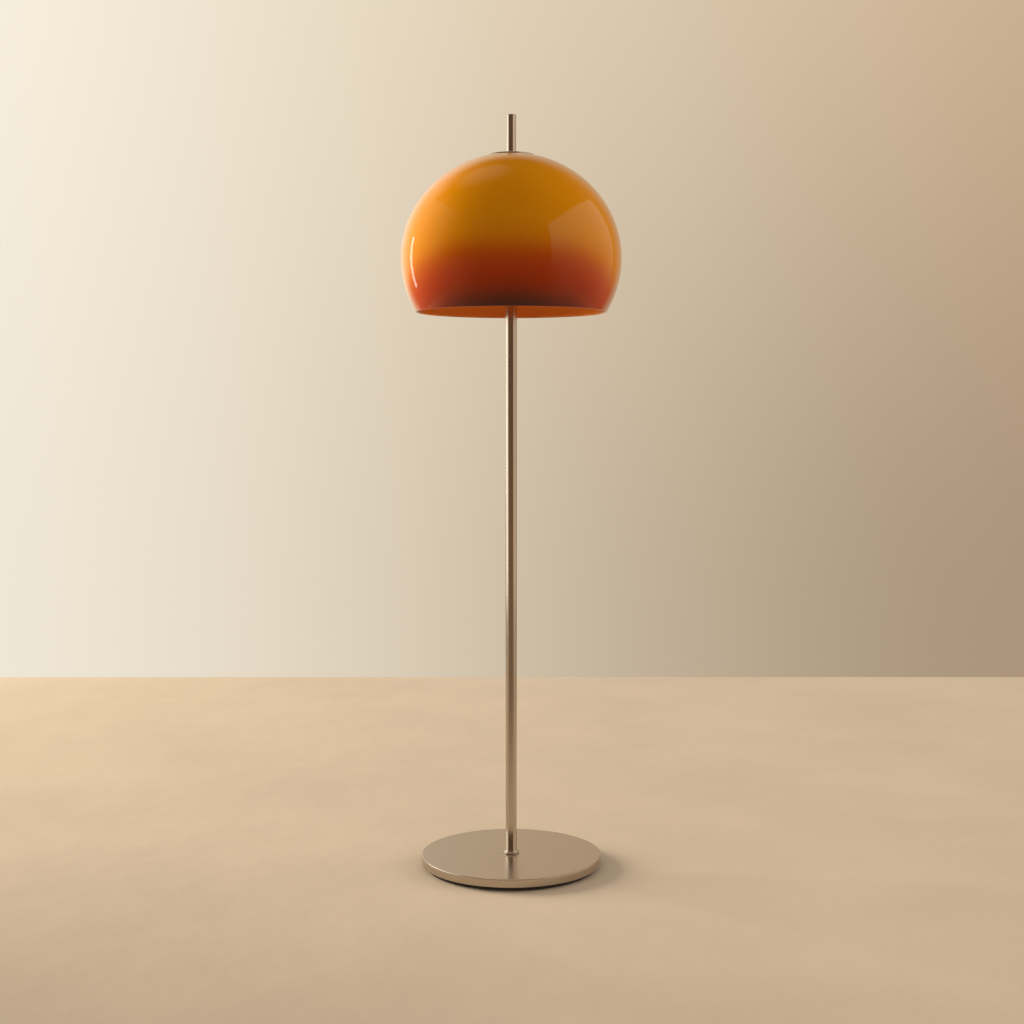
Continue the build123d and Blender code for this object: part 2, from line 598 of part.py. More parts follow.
def ring_nut():
    """Slotted ring nut that clamps the glass to the sleeve."""
    high = under_glass(GASKET) - CLAMP_WASHER_THICKNESS
    nut = ring(RING_NUT_RADIUS, SLEEVE_RADIUS, high - RING_NUT_HEIGHT, high)
    slot = Box(6, 4, RING_NUT_HEIGHT)
    return nut - copies(PolarLocations(RING_NUT_RADIUS, 4, start_angle=45), slot, high - RING_NUT_HEIGHT)


# ---- writing the nodes -------------------------------------------------------------------------
SINGLE_PIECES = (
    foot_ring, base_bottom_plate, plate_screws, ballast_weight, base_cover, cable_grommet,
    cord_clamp, cord_clamp_screws, terminal_block, stem_nipple, stem_washer, stem_nut,
    stem_foot_bushing, foot_collar, stem_tube, stem_top_bushing, guide_rod, rod_end_plug,
    hub_body, hub_grub_screw, hub_cover, hub_cover_screws, hub_terminal, arm_locknuts, supply_wire,
    height_collar, collar_bush, pressure_pad, thrust_washer, lock_screw,
    shade, shade_sleeve, cap_disc, upper_gasket, lower_gasket, clamp_washer, ring_nut)
PIECES_ON_EACH_ARM = (arm_nipple, lampholder_shell, lampholder_insert, bulb_cap, bulb_globe, holder_wire)


def main():
    """Writes every piece to its own file."""
    os.makedirs("parts", exist_ok=True)
    for piece in SINGLE_PIECES:
        export_step(piece(), f"parts/{piece.__name__}.step")
    for piece in PIECES_ON_EACH_ARM:
        for number, azimuth in enumerate(ARM_AZIMUTHS, start=1):
            export_step(piece(azimuth), f"parts/{piece.__name__}_{number}.step")


main()
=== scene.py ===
"""Mushroom floor lamp: the looks of every piece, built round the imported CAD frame.

Outlines are in millimetres, as radius and height about the lamp's axis or about an arm's axis, and
every finished mesh is in metres.  +Z is up and the front of the lamp is -Y.
"""
import logging
from collections.abc import Callable
from dataclasses import dataclass, field
from enum import Enum
from functools import reduce
from math import atan2, cos, degrees, hypot, pi, radians, sin, sqrt, tau

import bmesh
import bpy
from mathutils import Matrix, Vector


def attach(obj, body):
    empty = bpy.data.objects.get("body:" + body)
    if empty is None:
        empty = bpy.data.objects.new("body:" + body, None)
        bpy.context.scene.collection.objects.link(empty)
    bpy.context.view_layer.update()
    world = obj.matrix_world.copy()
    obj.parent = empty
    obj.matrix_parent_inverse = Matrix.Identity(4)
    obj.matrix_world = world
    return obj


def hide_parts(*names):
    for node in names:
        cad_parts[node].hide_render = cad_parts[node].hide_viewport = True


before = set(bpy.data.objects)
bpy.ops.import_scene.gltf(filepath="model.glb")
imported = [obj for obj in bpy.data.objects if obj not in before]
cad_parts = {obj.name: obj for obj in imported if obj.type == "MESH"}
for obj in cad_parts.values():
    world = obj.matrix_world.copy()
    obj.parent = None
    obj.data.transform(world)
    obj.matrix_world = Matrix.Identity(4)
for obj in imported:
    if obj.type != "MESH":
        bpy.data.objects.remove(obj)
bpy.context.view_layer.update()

MM = 0.001
MERGE, SLIVER = 1e-4, 1e-5          # distances for merging points and dropping thin faces, in mm
LOG = logging.getLogger("mushroom_lamp")

Colour = tuple[float, float, float]
Point = tuple[float, float]
Mesh = bmesh.types.BMesh
Socket = bpy.types.NodeSocket


def srgb(red: int, green: int, blue: int) -> Colour:
    """Turns a display colour of 0 to 255 into scene-linear values.

    Args:
        red: Red, 0 to 255.
        green: Green, 0 to 255.
        blue: Blue, 0 to 255.

    Returns:
        The linear colour.
    """
    def linear(value: int) -> float:
        """Linear value of one channel."""
        share = value / 255
        return share / 12.92 if share <= 0.04045 else ((share + 0.055) / 1.055) ** 2.4
    return linear(red), linear(green), linear(blue)


def scaled(colour: Colour, share: float) -> Colour:
    """A colour made darker by a share."""
    return tuple(channel * share for channel in colour)


# ---- meshes --------------------------------------------------------------------------------------
@dataclass
class Turning:
    """Outline in the plane of radius and height, and the part turned from it."""
    steps: int = 96
    mesh: Mesh = field(default_factory=bmesh.new)
    first: bmesh.types.BMVert | None = None
    last: bmesh.types.BMVert | None = None

    def line(self, *points: Point) -> "Turning":
        """Adds straight runs to the outline.

        Args:
            points: Radius and height of each next point.

        Returns:
            The turning itself.
        """
        for radius, height in points:
            vert = self.mesh.verts.new((radius, 0, height))
            if self.last is None:
                self.first = vert
            else:
                self.mesh.edges.new((self.last, vert))
            self.last = vert
        return self

    def arc(self, centre: Point, turn: float, steps: int, squash: float = 1.0) -> "Turning":
        """Adds an arc from the last point of the outline.

        Args:
            centre: Radius and height of the arc's centre.
            turn: Degrees, positive from the radius towards the height.
            steps: Number of chords.
            squash: Ratio of the ellipse's height to its width.

        Returns:
            The turning itself.
        """
        middle = Vector((centre[0], 0, centre[1]))
        space = Matrix.Translation(-middle)
        bmesh.ops.scale(self.mesh, vec=(1, 1, 1 / squash), space=space, verts=[self.last])
        before = set(self.mesh.verts)
        bmesh.ops.spin(
            self.mesh, geom=[self.last], cent=middle, axis=(0, 1, 0), angle=-radians(turn),
            steps=steps)
        fresh = [vert for vert in self.mesh.verts if vert not in before]
        bmesh.ops.scale(self.mesh, vec=(1, 1, squash), space=space, verts=[self.last] + fresh)
        self.mesh.verts.ensure_lookup_table()
        self.last = self.mesh.verts[-1]
        return self

    def turn(self, closed: bool = True) -> Mesh:
        """Turns the outline about the height axis.

        Args:
            closed: Whether the outline's two ends are joined first.

        Returns:
            The turned mesh, its seam and poles merged and its faces outwards.
        """
        if closed:
            self.mesh.edges.new((self.last, self.first))
        bmesh.ops.spin(
            self.mesh, geom=self.mesh.verts[:] + self.mesh.edges[:], cent=(0, 0, 0), axis=(0, 0, 1),
            angle=tau, steps=self.steps, use_merge=True)
        return tidy(self.mesh)


def tidy(mesh: Mesh) -> Mesh:
    """Merges doubles and points the faces outwards.

    Args:
        mesh: The mesh, which is changed.

    Returns:
        The same mesh.
    """
    bmesh.ops.remove_doubles(mesh, verts=mesh.verts[:], dist=MERGE)
    bmesh.ops.dissolve_degenerate(mesh, edges=mesh.edges[:], dist=SLIVER)
    bmesh.ops.recalc_face_normals(mesh, faces=mesh.faces[:])
    return mesh


def turned(*outline: Point, steps: int = 96) -> Mesh:
    """Part turned from a closed outline, its corners given as radius and height."""
    return Turning(steps).line(*outline).turn()


def ring(inner: float, outer: float, low: float, high: float, steps: int = 96) -> Mesh:
    """Ring between two radii and two heights; an inner radius of zero makes a disc."""
    return turned((inner, low), (outer, low), (outer, high), (inner, high), steps=steps)


def soften(mesh: Mesh, *rings: tuple[float, float, float], segments: int = 3) -> Mesh:
    """Bevels round edges of a turned part.

    Args:
        mesh: The turned mesh, before it is moved.
        rings: Radius, height and bevel width of each edge.
        segments: Facets across each bevel.

    Returns:
        The same mesh.
    """
    tolerance = 0.02
    for radius, height, width in rings:
        found = [edge for edge in mesh.edges if all(
            abs(hypot(vert.co.x, vert.co.y) - radius) < tolerance
            and abs(vert.co.z - height) < tolerance for vert in edge.verts)]
        bmesh.ops.bevel(
            mesh, geom=found, offset=width, offset_type="OFFSET", segments=segments, profile=0.5,
            affect="EDGES", material=-1, clamp_overlap=True)
    return mesh


def placed(mesh: Mesh, matrix: Matrix) -> Mesh:
    """Moves a mesh and gives the same one back."""
    bmesh.ops.transform(mesh, matrix=matrix, verts=mesh.verts[:])
    return mesh


def about_axis(angle: float) -> Matrix:
    """Turn about the height axis, in degrees."""
    return Matrix.Rotation(radians(angle), 4, "Z")


def arm_place(azimuth: float, height: float) -> Matrix:
    """Placement of a part that was built about Z onto a level arm."""
    return (
        Matrix.Translation((0, 0, height)) @ about_axis(azimuth) @ Matrix.Rotation(pi / 2, 4, "Y"))


def meshed(name: str, mesh: Mesh) -> bpy.types.Mesh:
    """Turns a finished mesh into mesh data, and frees it.

    Args:
        name: Name of the data.
        mesh: The mesh.

    Returns:
        The data.
    """
    data = bpy.data.meshes.new(name)
    mesh.to_mesh(data)
    mesh.free()
    return data


def shown(name: str, data: bpy.types.ID) -> bpy.types.Object:
    """Puts an object into the scene.

    Args:
        name: Name of the object.
        data: Its mesh, light or camera.

    Returns:
        The object.
    """
    thing = bpy.data.objects.new(name, data)
    bpy.context.scene.collection.objects.link(thing)
    return thing


def joined(*meshes: Mesh) -> Mesh:
    """Puts separate meshes into one, and frees the rest.

    Args:
        meshes: The meshes; the first one is kept.

    Returns:
        The first mesh with all the others in it.
    """
    target = meshes[0]
    for mesh in meshes[1:]:
        data = meshed("joining", mesh)
        target.from_mesh(data)
        bpy.data.meshes.remove(data)
    return target


def shaped(mesh: Mesh, tool: Mesh, operation: str = "DIFFERENCE") -> Mesh:
    """Cuts one mesh with another, or fuses the two.

    Args:
        mesh: The mesh that is kept.
        tool: The cutter, or the part that is added.
        operation: DIFFERENCE or UNION.

    Returns:
        A new mesh; the two given ones are freed.
    """
    objects = [shown(label, meshed(label, source)) for label, source in (
        ("work", mesh), ("tool", tool))]
    work, cutter = objects
    modifier = work.modifiers.new("cut", "BOOLEAN")
    modifier.object, modifier.operation, modifier.solver = cutter, operation, "EXACT"
    bpy.context.view_layer.update()
    result = bmesh.new()
    evaluated = work.evaluated_get(bpy.context.evaluated_depsgraph_get())
    result.from_mesh(evaluated.to_mesh())
    evaluated.to_mesh_clear()
    for thing in objects:
        data = thing.data
        bpy.data.objects.remove(thing)
        bpy.data.meshes.remove(data)
    bmesh.ops.remove_doubles(result, verts=result.verts[:], dist=MERGE)
    return result


def prism(radius: float, low: float, high: float, sides: int) -> Mesh:
    """Straight bar about the height axis, used as a cutter.

    Args:
        radius: Radius of the corners.
        low: Lower end.
        high: Upper end.
        sides: Number of sides.

    Returns:
        The mesh.
    """
    mesh = bmesh.new()
    bmesh.ops.create_cone(
        mesh, cap_ends=True, segments=sides, radius1=radius, radius2=radius, depth=high - low,
        matrix=Matrix.Translation((0, 0, (low + high) / 2)))
    return mesh


def brick(size: tuple[float, float, float], centre: tuple[float, float, float]) -> Mesh:
    """Square cutter.

    Args:
        size: Its three edges.
        centre: Its middle.

    Returns:
        The mesh.
    """
    mesh = bmesh.new()
    bmesh.ops.create_cube(
        mesh, size=1, matrix=Matrix.Translation(centre) @ Matrix.Diagonal((*size, 1)))
    return mesh


def threaded(
        root: float, crest: float, pitch: float, low: float, high: float, steps: int = 48) -> Mesh:
    """Rounded screw thread: one pitch of outline wound up the axis and trimmed at both ends.

    Args:
        root: Radius at the bottom of the thread.
        crest: Radius at the top of the thread.
        pitch: Rise of one turn.
        low: Lower end.
        high: Upper end.
        steps: Facets round the axis.

    Returns:
        The open tube of thread.
    """
    mesh = bmesh.new()
    corners, spare_turns, seam = 6, 4, 1e-3
    middle, depth = (root + crest) / 2, (crest - root) / 2
    verts = [
        mesh.verts.new(
            (middle - depth * cos(tau * n / corners), 0, low - pitch * (2 - n / corners)))
        for n in range(corners + 1)]
    edges = [mesh.edges.new(pair) for pair in zip(verts, verts[1:])]
    turns = int((high - low) / pitch) + spare_turns
    bmesh.ops.spin(
        mesh, geom=verts + edges, cent=(0, 0, 0), axis=(0, 0, 1), dvec=(0, 0, pitch / steps),
        angle=tau * turns, steps=steps * turns)
    bmesh.ops.remove_doubles(mesh, verts=mesh.verts[:], dist=seam)
    for height, outward in ((low, -1), (high, 1)):
        bmesh.ops.bisect_plane(
            mesh, geom=mesh.verts[:] + mesh.edges[:] + mesh.faces[:], dist=SLIVER,
            plane_co=(0, 0, height), plane_no=(0, 0, outward), clear_outer=True)
    return mesh


def drawn_in(mesh: Mesh, height: float, *rings: Point) -> None:
    """Carries the open end of a tube on to a few more rings.

    Args:
        mesh: The tube.
        height: Height of the open end.
        rings: Radius and height of each next ring; a radius near zero closes the end.
    """
    tolerance = 1e-2
    border = [edge for edge in mesh.edges if edge.is_boundary and all(
        abs(vert.co.z - height) < tolerance for vert in edge.verts)]
    for radius, level in rings:
        made = bmesh.ops.extrude_edge_only(mesh, edges=border)["geom"]
        verts = [item for item in made if isinstance(item, bmesh.types.BMVert)]
        border = [item for item in made if isinstance(item, bmesh.types.BMEdge)]
        for vert in verts:
            length = hypot(vert.co.x, vert.co.y)
            vert.co = (vert.co.x / length * radius, vert.co.y / length * radius, level)


def fluted(mesh: Mesh, count: int, depth: float, from_radius: float) -> Mesh:
    """Presses rounded flutes into the outside of a turned knob.

    Args:
        mesh: The turned mesh.
        count: Number of flutes.
        depth: Depth of a flute.
        from_radius: Only what lies outside this radius moves.

    Returns:
        The same mesh.
    """
    roundness = 0.8
    for vert in mesh.verts:
        radius = hypot(vert.co.x, vert.co.y)
        if radius > from_radius:
            wave = max(0.0, cos(count * atan2(vert.co.y, vert.co.x))) ** roundness
            share = (radius - depth * wave) / radius
            vert.co.x, vert.co.y = vert.co.x * share, vert.co.y * share
    return mesh


# ---- shader nodes --------------------------------------------------------------------------------
class Graph:
    """Places and links the nodes of one tree."""

    def __init__(self, tree: bpy.types.NodeTree) -> None:
        """Starts on an empty or existing tree."""
        self.tree = tree

    def node(self, kind: str, *values: object, **settings: object) -> bpy.types.Node:
        """Adds a node.

        Args:
            kind: Node type.
            values: What its first inputs get, in their order.
            settings: Properties of the node.

        Returns:
            The node.
        """
        made = self.tree.nodes.new(kind)
        for name, value in settings.items():
            setattr(made, name, value)
        for socket, value in zip(made.inputs, values):
            self.feed(socket, value)
        return made

    def feed(self, into: Socket, value: object) -> None:
        """Links a socket, or sets a plain value, into an input.

        Args:
            into: The input.
            value: A socket, a number, a vector or a colour.
        """
        if isinstance(value, bpy.types.NodeSocket):
            self.tree.links.new(value, into)
        elif isinstance(value, (tuple, list)) and into.type == "RGBA":
            into.default_value = (*value[:3], 1.0)
        else:
            into.default_value = value

    def fill(self, node: bpy.types.Node, values: dict[str, object]) -> None:
        """Feeds a node's inputs by name."""
        for name, value in values.items():
            self.feed(node.inputs[name], value)

    def math(self, operation: str, *values: object, clamp: bool = False) -> Socket:
        """Result of a Math node, kept between 0 and 1 where clamp is set."""
        return self.node(
            "ShaderNodeMath", *values, operation=operation, use_clamp=clamp).outputs[0]

    def times(self, *values: object) -> Socket:
        """Product of two or more values."""
        return reduce(lambda first, second: self.math("MULTIPLY", first, second), values)

    def span(
            self, value: object, low: float, high: float, start: object = 0.0, end: object = 1.0,
            blend: str = "SMOOTHSTEP") -> Socket:
        """Maps the range from low to high onto the one from start to end."""
        return self.node(
            "ShaderNodeMapRange", value, low, high, start, end, interpolation_type=blend).outputs[0]

    def mix(self, factor: object, first: object, second: object, blend: str = "MIX") -> Socket:
        """Mixes two colours.

        Args:
            factor: Share of the second colour.
            first: First colour.
            second: Second colour.
            blend: Blend mode.

        Returns:
            The mixed colour.
        """
        made = self.node("ShaderNodeMix", factor, data_type="RGBA", blend_type=blend)
        self.feed(made.inputs[6], first)
        self.feed(made.inputs[7], second)
        return made.outputs[2]

    def dimmed(self, colour: object, level: Socket) -> Socket:
        """A colour times a level."""
        return self.mix(1.0, colour, self.vector(level, level, level), "MULTIPLY")

    def ramp(
            self, value: Socket, stops: tuple[tuple[float, Colour], ...],
            mode: str = "LINEAR") -> Socket:
        """Colour ramp.

        Args:
            value: What the ramp reads.
            stops: Place and colour of each stop.
            mode: Interpolation.

        Returns:
            The colour.
        """
        made = self.node("ShaderNodeValToRGB")
        made.color_ramp.interpolation = mode
        elements = made.color_ramp.elements
        while len(elements) < len(stops):
            elements.new(1.0)
        for element, (place, colour) in zip(elements, stops):
            element.position = place
            element.color = (*colour, 1.0)
        self.feed(made.inputs[0], value)
        return made.outputs[0]

    def noise(
            self, vector: Socket, scale: object, detail: float = 2.0, rough: float = 0.5) -> Socket:
        """Noise value.

        Args:
            vector: Where the noise is read.
            scale: Its scale.
            detail: Octaves.
            rough: Weight of the finer octaves.

        Returns:
            The value, about 0.5 on average.
        """
        made = self.node("ShaderNodeTexNoise")
        self.fill(made, {"Vector": vector, "Scale": scale, "Detail": detail, "Roughness": rough})
        return made.outputs[0]

    def stretched(self, vector: Socket, scale: tuple[float, float, float]) -> Socket:
        """Scales a vector.

        Args:
            vector: The vector.
            scale: Its three factors.

        Returns:
            The scaled vector.
        """
        made = self.node("ShaderNodeMapping", vector_type="POINT")
        self.fill(made, {"Vector": vector, "Scale": scale})
        return made.outputs[0]

    def place(self) -> Socket:
        """Object coordinates, in metres."""
        return self.node("ShaderNodeTexCoord").outputs["Object"]

    def parts(self, vector: Socket) -> tuple[Socket, Socket, Socket]:
        """The three parts of a vector."""
        return tuple(self.node("ShaderNodeSeparateXYZ", vector).outputs)

    def vector(self, *values: object) -> Socket:
        """A vector from its three parts."""
        return self.node("ShaderNodeCombineXYZ", *values).outputs[0]

    def measured(self, operation: str, *vectors: object) -> Socket:
        """Length or dot product of vectors."""
        return self.node("ShaderNodeVectorMath", *vectors, operation=operation).outputs["Value"]

    def bump(self, height: Socket, depth: float) -> Socket:
        """Bump normal.

        Args:
            height: Height, 0 to 1.
            depth: Depth in metres of a height of 1.

        Returns:
            The normal.
        """
        made = self.node("ShaderNodeBump")
        self.fill(made, {"Strength": 1.0, "Distance": depth, "Height": height})
        return made.outputs[0]


class Effects:
    """Node groups that several finishes share, each built once."""

    def __init__(self) -> None:
        """Builds the groups."""
        vector = {"Vector": "Vector"}
        amount, mask = vector | {"Amount": "Float"}, {"Mask": "Float"}
        self.grain = self._group(
            "fine_grain", vector | {"Scale": "Float"}, {"Height": "Float", "Tone": "Float"},
            self._fine_grain)
        self.wear = self._group("edge_wear", amount, mask, self._edge_wear)
        self.dust = self._group("dust_film", amount, mask, self._dust_film)
        self.marks = self._group(
            "handling_marks", vector | {"Base": "Float", "Spread": "Float"}, {"Roughness": "Float"},
            self._handling_marks)

    @staticmethod
    def _group(
            name: str, inputs: dict[str, str], outputs: dict[str, str],
            inner: Callable[..., dict[str, Socket]]) -> bpy.types.NodeTree:
        """Makes a group with named inputs and outputs.

        Args:
            name: Name of the group.
            inputs: Name and kind of each input.
            outputs: Name and kind of each output.
            inner: Method that adds the inner nodes and returns the outputs' sockets.

        Returns:
            The node group.
        """
        tree = bpy.data.node_groups.new(name, "ShaderNodeTree")
        for way, sockets in (("INPUT", inputs), ("OUTPUT", outputs)):
            for label, kind in sockets.items():
                tree.interface.new_socket(name=label, in_out=way, socket_type=f"NodeSocket{kind}")
        graph = Graph(tree)
        entry, leave = graph.node("NodeGroupInput"), graph.node("NodeGroupOutput")
        graph.fill(leave, inner(graph, entry.outputs))
        return tree

    @staticmethod
    def _fine_grain(graph: Graph, given: bpy.types.NodeOutputs) -> dict[str, Socket]:
        """Fine lines or pits, and a slow change of tone over them.

        Args:
            graph: The group's graph.
            given: The group's inputs.

        Returns:
            The group's outputs.
        """
        slowness = 0.06
        fine = graph.noise(given["Vector"], given["Scale"], 4.0, 0.65)
        slow = graph.noise(given["Vector"], graph.times(given["Scale"], slowness))
        return {"Height": fine, "Tone": graph.span(slow, 0.3, 0.7)}

    @staticmethod
    def _edge_wear(graph: Graph, given: bpy.types.NodeOutputs) -> dict[str, Socket]:
        """Mask of raised edges, broken up by noise.

        Args:
            graph: The group's graph.
            given: The group's inputs.

        Returns:
            The group's outputs.
        """
        point = graph.node("ShaderNodeNewGeometry").outputs["Pointiness"]
        broken = graph.span(graph.noise(given["Vector"], 220.0, 3.0, 0.7), 0.35, 0.65)
        edge = graph.times(graph.span(point, 0.52, 0.62), broken)
        return {"Mask": graph.math("MULTIPLY", edge, given["Amount"], clamp=True)}

    @staticmethod
    def _dust_film(graph: Graph, given: bpy.types.NodeOutputs) -> dict[str, Socket]:
        """Mask of a thin film on faces that look up.

        Args:
            graph: The group's graph.
            given: The group's inputs.

        Returns:
            The group's outputs.
        """
        up = graph.parts(graph.node("ShaderNodeNewGeometry").outputs["Normal"])[2]
        cloud = graph.span(graph.noise(given["Vector"], 30.0, 6.0, 0.7), 0.35, 0.75)
        film = graph.times(graph.span(up, 0.5, 1.0), cloud)
        return {"Mask": graph.math("MULTIPLY", film, given["Amount"], clamp=True)}

    @staticmethod
    def _handling_marks(graph: Graph, given: bpy.types.NodeOutputs) -> dict[str, Socket]:
        """Roughness with faint smears.

        Args:
            graph: The group's graph.
            given: The group's inputs.

        Returns:
            The group's outputs.
        """
        smear = graph.math("SUBTRACT", graph.noise(given["Vector"], 14.0, 5.0, 0.6), 0.5)
        change = graph.times(smear, given["Spread"])
        return {"Roughness": graph.math("ADD", given["Base"], change, clamp=True)}

    @staticmethod
    def use(graph: Graph, tree: bpy.types.NodeTree, **values: object) -> bpy.types.NodeOutputs:
        """Places a group in a material.

        Args:
            graph: The material's graph.
            tree: The group.
            values: Its inputs, by name.

        Returns:
            Its outputs.
        """
        made = graph.node("ShaderNodeGroup", node_tree=tree)
        graph.fill(made, values)
        return made.outputs

    def smeared(self, graph: Graph, place: Socket, base: float, spread: float) -> Socket:
        """Roughness with the faint smears of handling."""
        return self.use(graph, self.marks, Vector=place, Base=base, Spread=spread)["Roughness"]


class Grain(Enum):
    """Which way the fine lines of a metal run."""
    LENGTHWISE = "along the height"
    ROUND = "round the lamp's axis"
    BLASTED = "no direction"


@dataclass(frozen=True)
class Finish:
    """A finish with its own material, and the record's slot for it."""
    name: str
    slot: str

    def paint(self, graph: Graph, shader: bpy.types.Node, effects: Effects) -> None:
        """Adds the finish's nodes; each kind of finish has its own."""
        raise NotImplementedError

    def build(self, effects: Effects) -> bpy.types.Material:
        """Makes the material.

        Args:
            effects: The shared groups.

        Returns:
            The material.
        """
        material = bpy.data.materials.new(self.name)
        material.use_nodes = True
        nodes = material.node_tree.nodes
        self.paint(Graph(material.node_tree), nodes["Principled BSDF"], effects)
        return material


@dataclass(frozen=True)
class Metal(Finish):
    """Plated, turned or cast metal."""
    colour: Colour
    roughness: float
    spread: float
    grain: Grain
    grain_scale: float
    grain_depth: float
    tone: float = 0.06
    streak: float = 0.012
    round_scale: float = 0.002

    def paint(self, graph: Graph, shader: bpy.types.Node, effects: Effects) -> None:
        """Adds the metal's nodes.

        Args:
            graph: The material's graph.
            shader: Its shader.
            effects: The shared groups.
        """
        place = vector = graph.place()
        if self.grain is Grain.LENGTHWISE:
            vector = graph.stretched(place, (1.0, 1.0, self.streak))
        elif self.grain is Grain.ROUND:
            x, y, z = graph.parts(place)
            radius = graph.math("SQRT", graph.math("ADD", graph.times(x, x), graph.times(y, y)))
            angle = graph.times(graph.math("ARCTAN2", y, x), self.round_scale)
            vector = graph.vector(radius, angle, z)
        fine = effects.use(graph, effects.grain, Vector=vector, Scale=self.grain_scale)
        graph.fill(shader, {
            "Base Color": graph.mix(fine["Tone"], scaled(self.colour, 1 - self.tone), self.colour),
            "Metallic": 1.0,
            "Roughness": effects.smeared(graph, place, self.roughness, self.spread),
            "Normal": graph.bump(fine["Height"], self.grain_depth)})


@dataclass(frozen=True)
class Moulded(Finish):
    """Plastic, rubber, paint or ceramic."""
    colour: Colour
    second: Colour
    roughness: float
    spread: float
    grain_scale: float
    grain_depth: float
    specular: float = 0.5
    coat: float = 0.0
    coat_roughness: float = 0.08
    dust: float = 0.0
    film: Colour = (0.35, 0.32, 0.28)
    wear: float = 0.0

    def paint(self, graph: Graph, shader: bpy.types.Node, effects: Effects) -> None:
        """Adds the nodes of a moulded or painted surface.

        Args:
            graph: The material's graph.
            shader: Its shader.
            effects: The shared groups.
        """
        place = graph.place()
        fine = effects.use(graph, effects.grain, Vector=place, Scale=self.grain_scale)
        colour = graph.mix(fine["Tone"], self.colour, self.second)
        if self.wear:
            worn = effects.use(graph, effects.wear, Vector=place, Amount=self.wear)
            bare = tuple(min(1.0, channel * 2 + 0.05) for channel in self.colour)
            colour = graph.mix(worn["Mask"], colour, bare)
        if self.dust:
            film = effects.use(graph, effects.dust, Vector=place, Amount=self.dust)
            colour = graph.mix(film["Mask"], colour, self.film)
        graph.fill(shader, {
            "Base Color": colour, "Specular IOR Level": self.specular,
            "Roughness": effects.smeared(graph, place, self.roughness, self.spread),
            "Coat Weight": self.coat, "Coat Roughness": self.coat_roughness,
            "Normal": graph.bump(fine["Height"], self.grain_depth)})


@dataclass(frozen=True)
class CasedGlass(Finish):
    """Blown glass in two colours that run into each other over the height of the dome, with painted
    edge light.
    """
    stops: tuple[tuple[float, Colour], ...]
    low: float = 1.11
    high: float = 1.42
    roughness: float = 0.035
    spread: float = 0.03
    specular: float = 0.36
    drift: float = 0.012
    painted_glow_shift: float = 0.11
    painted_glow_power: float = 1.5
    painted_edge_light: float = 0.22
    painted_edge_reflection: Colour = (0.62, 0.50, 0.36)
    painted_reflection_band: float = 0.09
    ripple_depth: float = 0.0008

    def paint(self, graph: Graph, shader: bpy.types.Node, effects: Effects) -> None:
        """Adds the glass colour, its soft transition, painted edge light and reflection, and its
        blown surface.

        Args:
            graph: The material's graph.
            shader: Its shader.
            effects: The shared groups.
        """
        place = graph.place()
        height = graph.parts(place)[2]
        facing = graph.node("ShaderNodeLayerWeight").outputs["Facing"]
        cloud = graph.math("SUBTRACT", graph.noise(place, 9.0), 0.5)
        # painted glow: towards grazing angles the colour moves up the ramp to the lighter amber
        lean = graph.times(graph.math("POWER", facing, self.painted_glow_power), self.painted_glow_shift)
        level = graph.math("ADD", graph.math("ADD", height, graph.times(cloud, self.drift)), lean)
        share = graph.span(level, self.low, self.high, blend="LINEAR")
        colour = graph.ramp(share, self.stops, "B_SPLINE")
        fleck = graph.span(graph.noise(place, 420.0, 3.0, 0.7), 0.25, 0.8, 0.94, 1.0)
        # painted light: the colour brightens towards grazing angles
        colour = graph.dimmed(colour, graph.math("ADD", fleck, graph.times(facing, self.painted_edge_light)))
        # painted reflection: a pale band mixed in at grazing angles, strongest near the rim
        rim = graph.span(height, self.low, self.low + self.painted_reflection_band, 0.85, 0.45)
        edge = graph.times(graph.span(facing, 0.62, 0.90), rim)
        ripple = graph.noise(graph.stretched(place, (1.0, 1.0, 1.6)), 7.0, 1.5, 0.4)
        graph.fill(shader, {
            "Base Color": graph.mix(edge, colour, self.painted_edge_reflection),
            "Specular IOR Level": self.specular, "IOR": 1.5,
            "Roughness": effects.smeared(graph, place, self.roughness, self.spread),
            "Normal": graph.bump(ripple, self.ripple_depth)})


@dataclass(frozen=True)
class OpalGlass(Finish):
    """White glass of the bulbs."""
    colour: Colour = (0.86, 0.83, 0.76)
    roughness: float = 0.12
    spread: float = 0.05
    coat: float = 0.4
    coat_roughness: float = 0.04

    def paint(self, graph: Graph, shader: bpy.types.Node, effects: Effects) -> None:
        """Adds the milky colour and the glossy skin.

        Args:
            graph: The material's graph.
            shader: Its shader.
            effects: The shared groups.
        """
        place = graph.place()
        cloud = graph.span(graph.noise(place, 60.0, 3.0), 0.3, 0.7)
        graph.fill(shader, {
            "Base Color": graph.mix(cloud, scaled(self.colour, 0.95), self.colour),
            "Roughness": effects.smeared(graph, place, self.roughness, self.spread),
            "Coat Weight": self.coat, "Coat Roughness": self.coat_roughness})


@dataclass(frozen=True)
class WovenSleeve(Finish):
    """Braided glass-fibre sleeve of the inner wiring."""
    colour: Colour = (0.60, 0.54, 0.44)
    roughness: float = 0.7
    strand: float = 1500.0
    depth: float = 0.0002

    def paint(self, graph: Graph, shader: bpy.types.Node, effects: Effects) -> None:
        """Adds crossing strands in two directions, with painted shade in the hollows between them.

        Args:
            graph: The material's graph.
            shader: Its shader.
            effects: The shared groups, none of which it uses.
        """
        x, y, z = graph.parts(graph.place())
        across = graph.math("ADD", x, y)
        waves = []
        for sign in (1.0, -1.0):
            phase = graph.times(graph.math("ADD", across, graph.times(z, sign)), self.strand)
            waves.append(graph.math("ABSOLUTE", graph.math("SINE", phase)))
        height = graph.times(*waves)
        # painted shade: the colour darkens in the hollows between strands
        graph.fill(shader, {
            "Base Color": graph.mix(height, scaled(self.colour, 0.55), self.colour),
            "Roughness": self.roughness, "Normal": graph.bump(height, self.depth)})


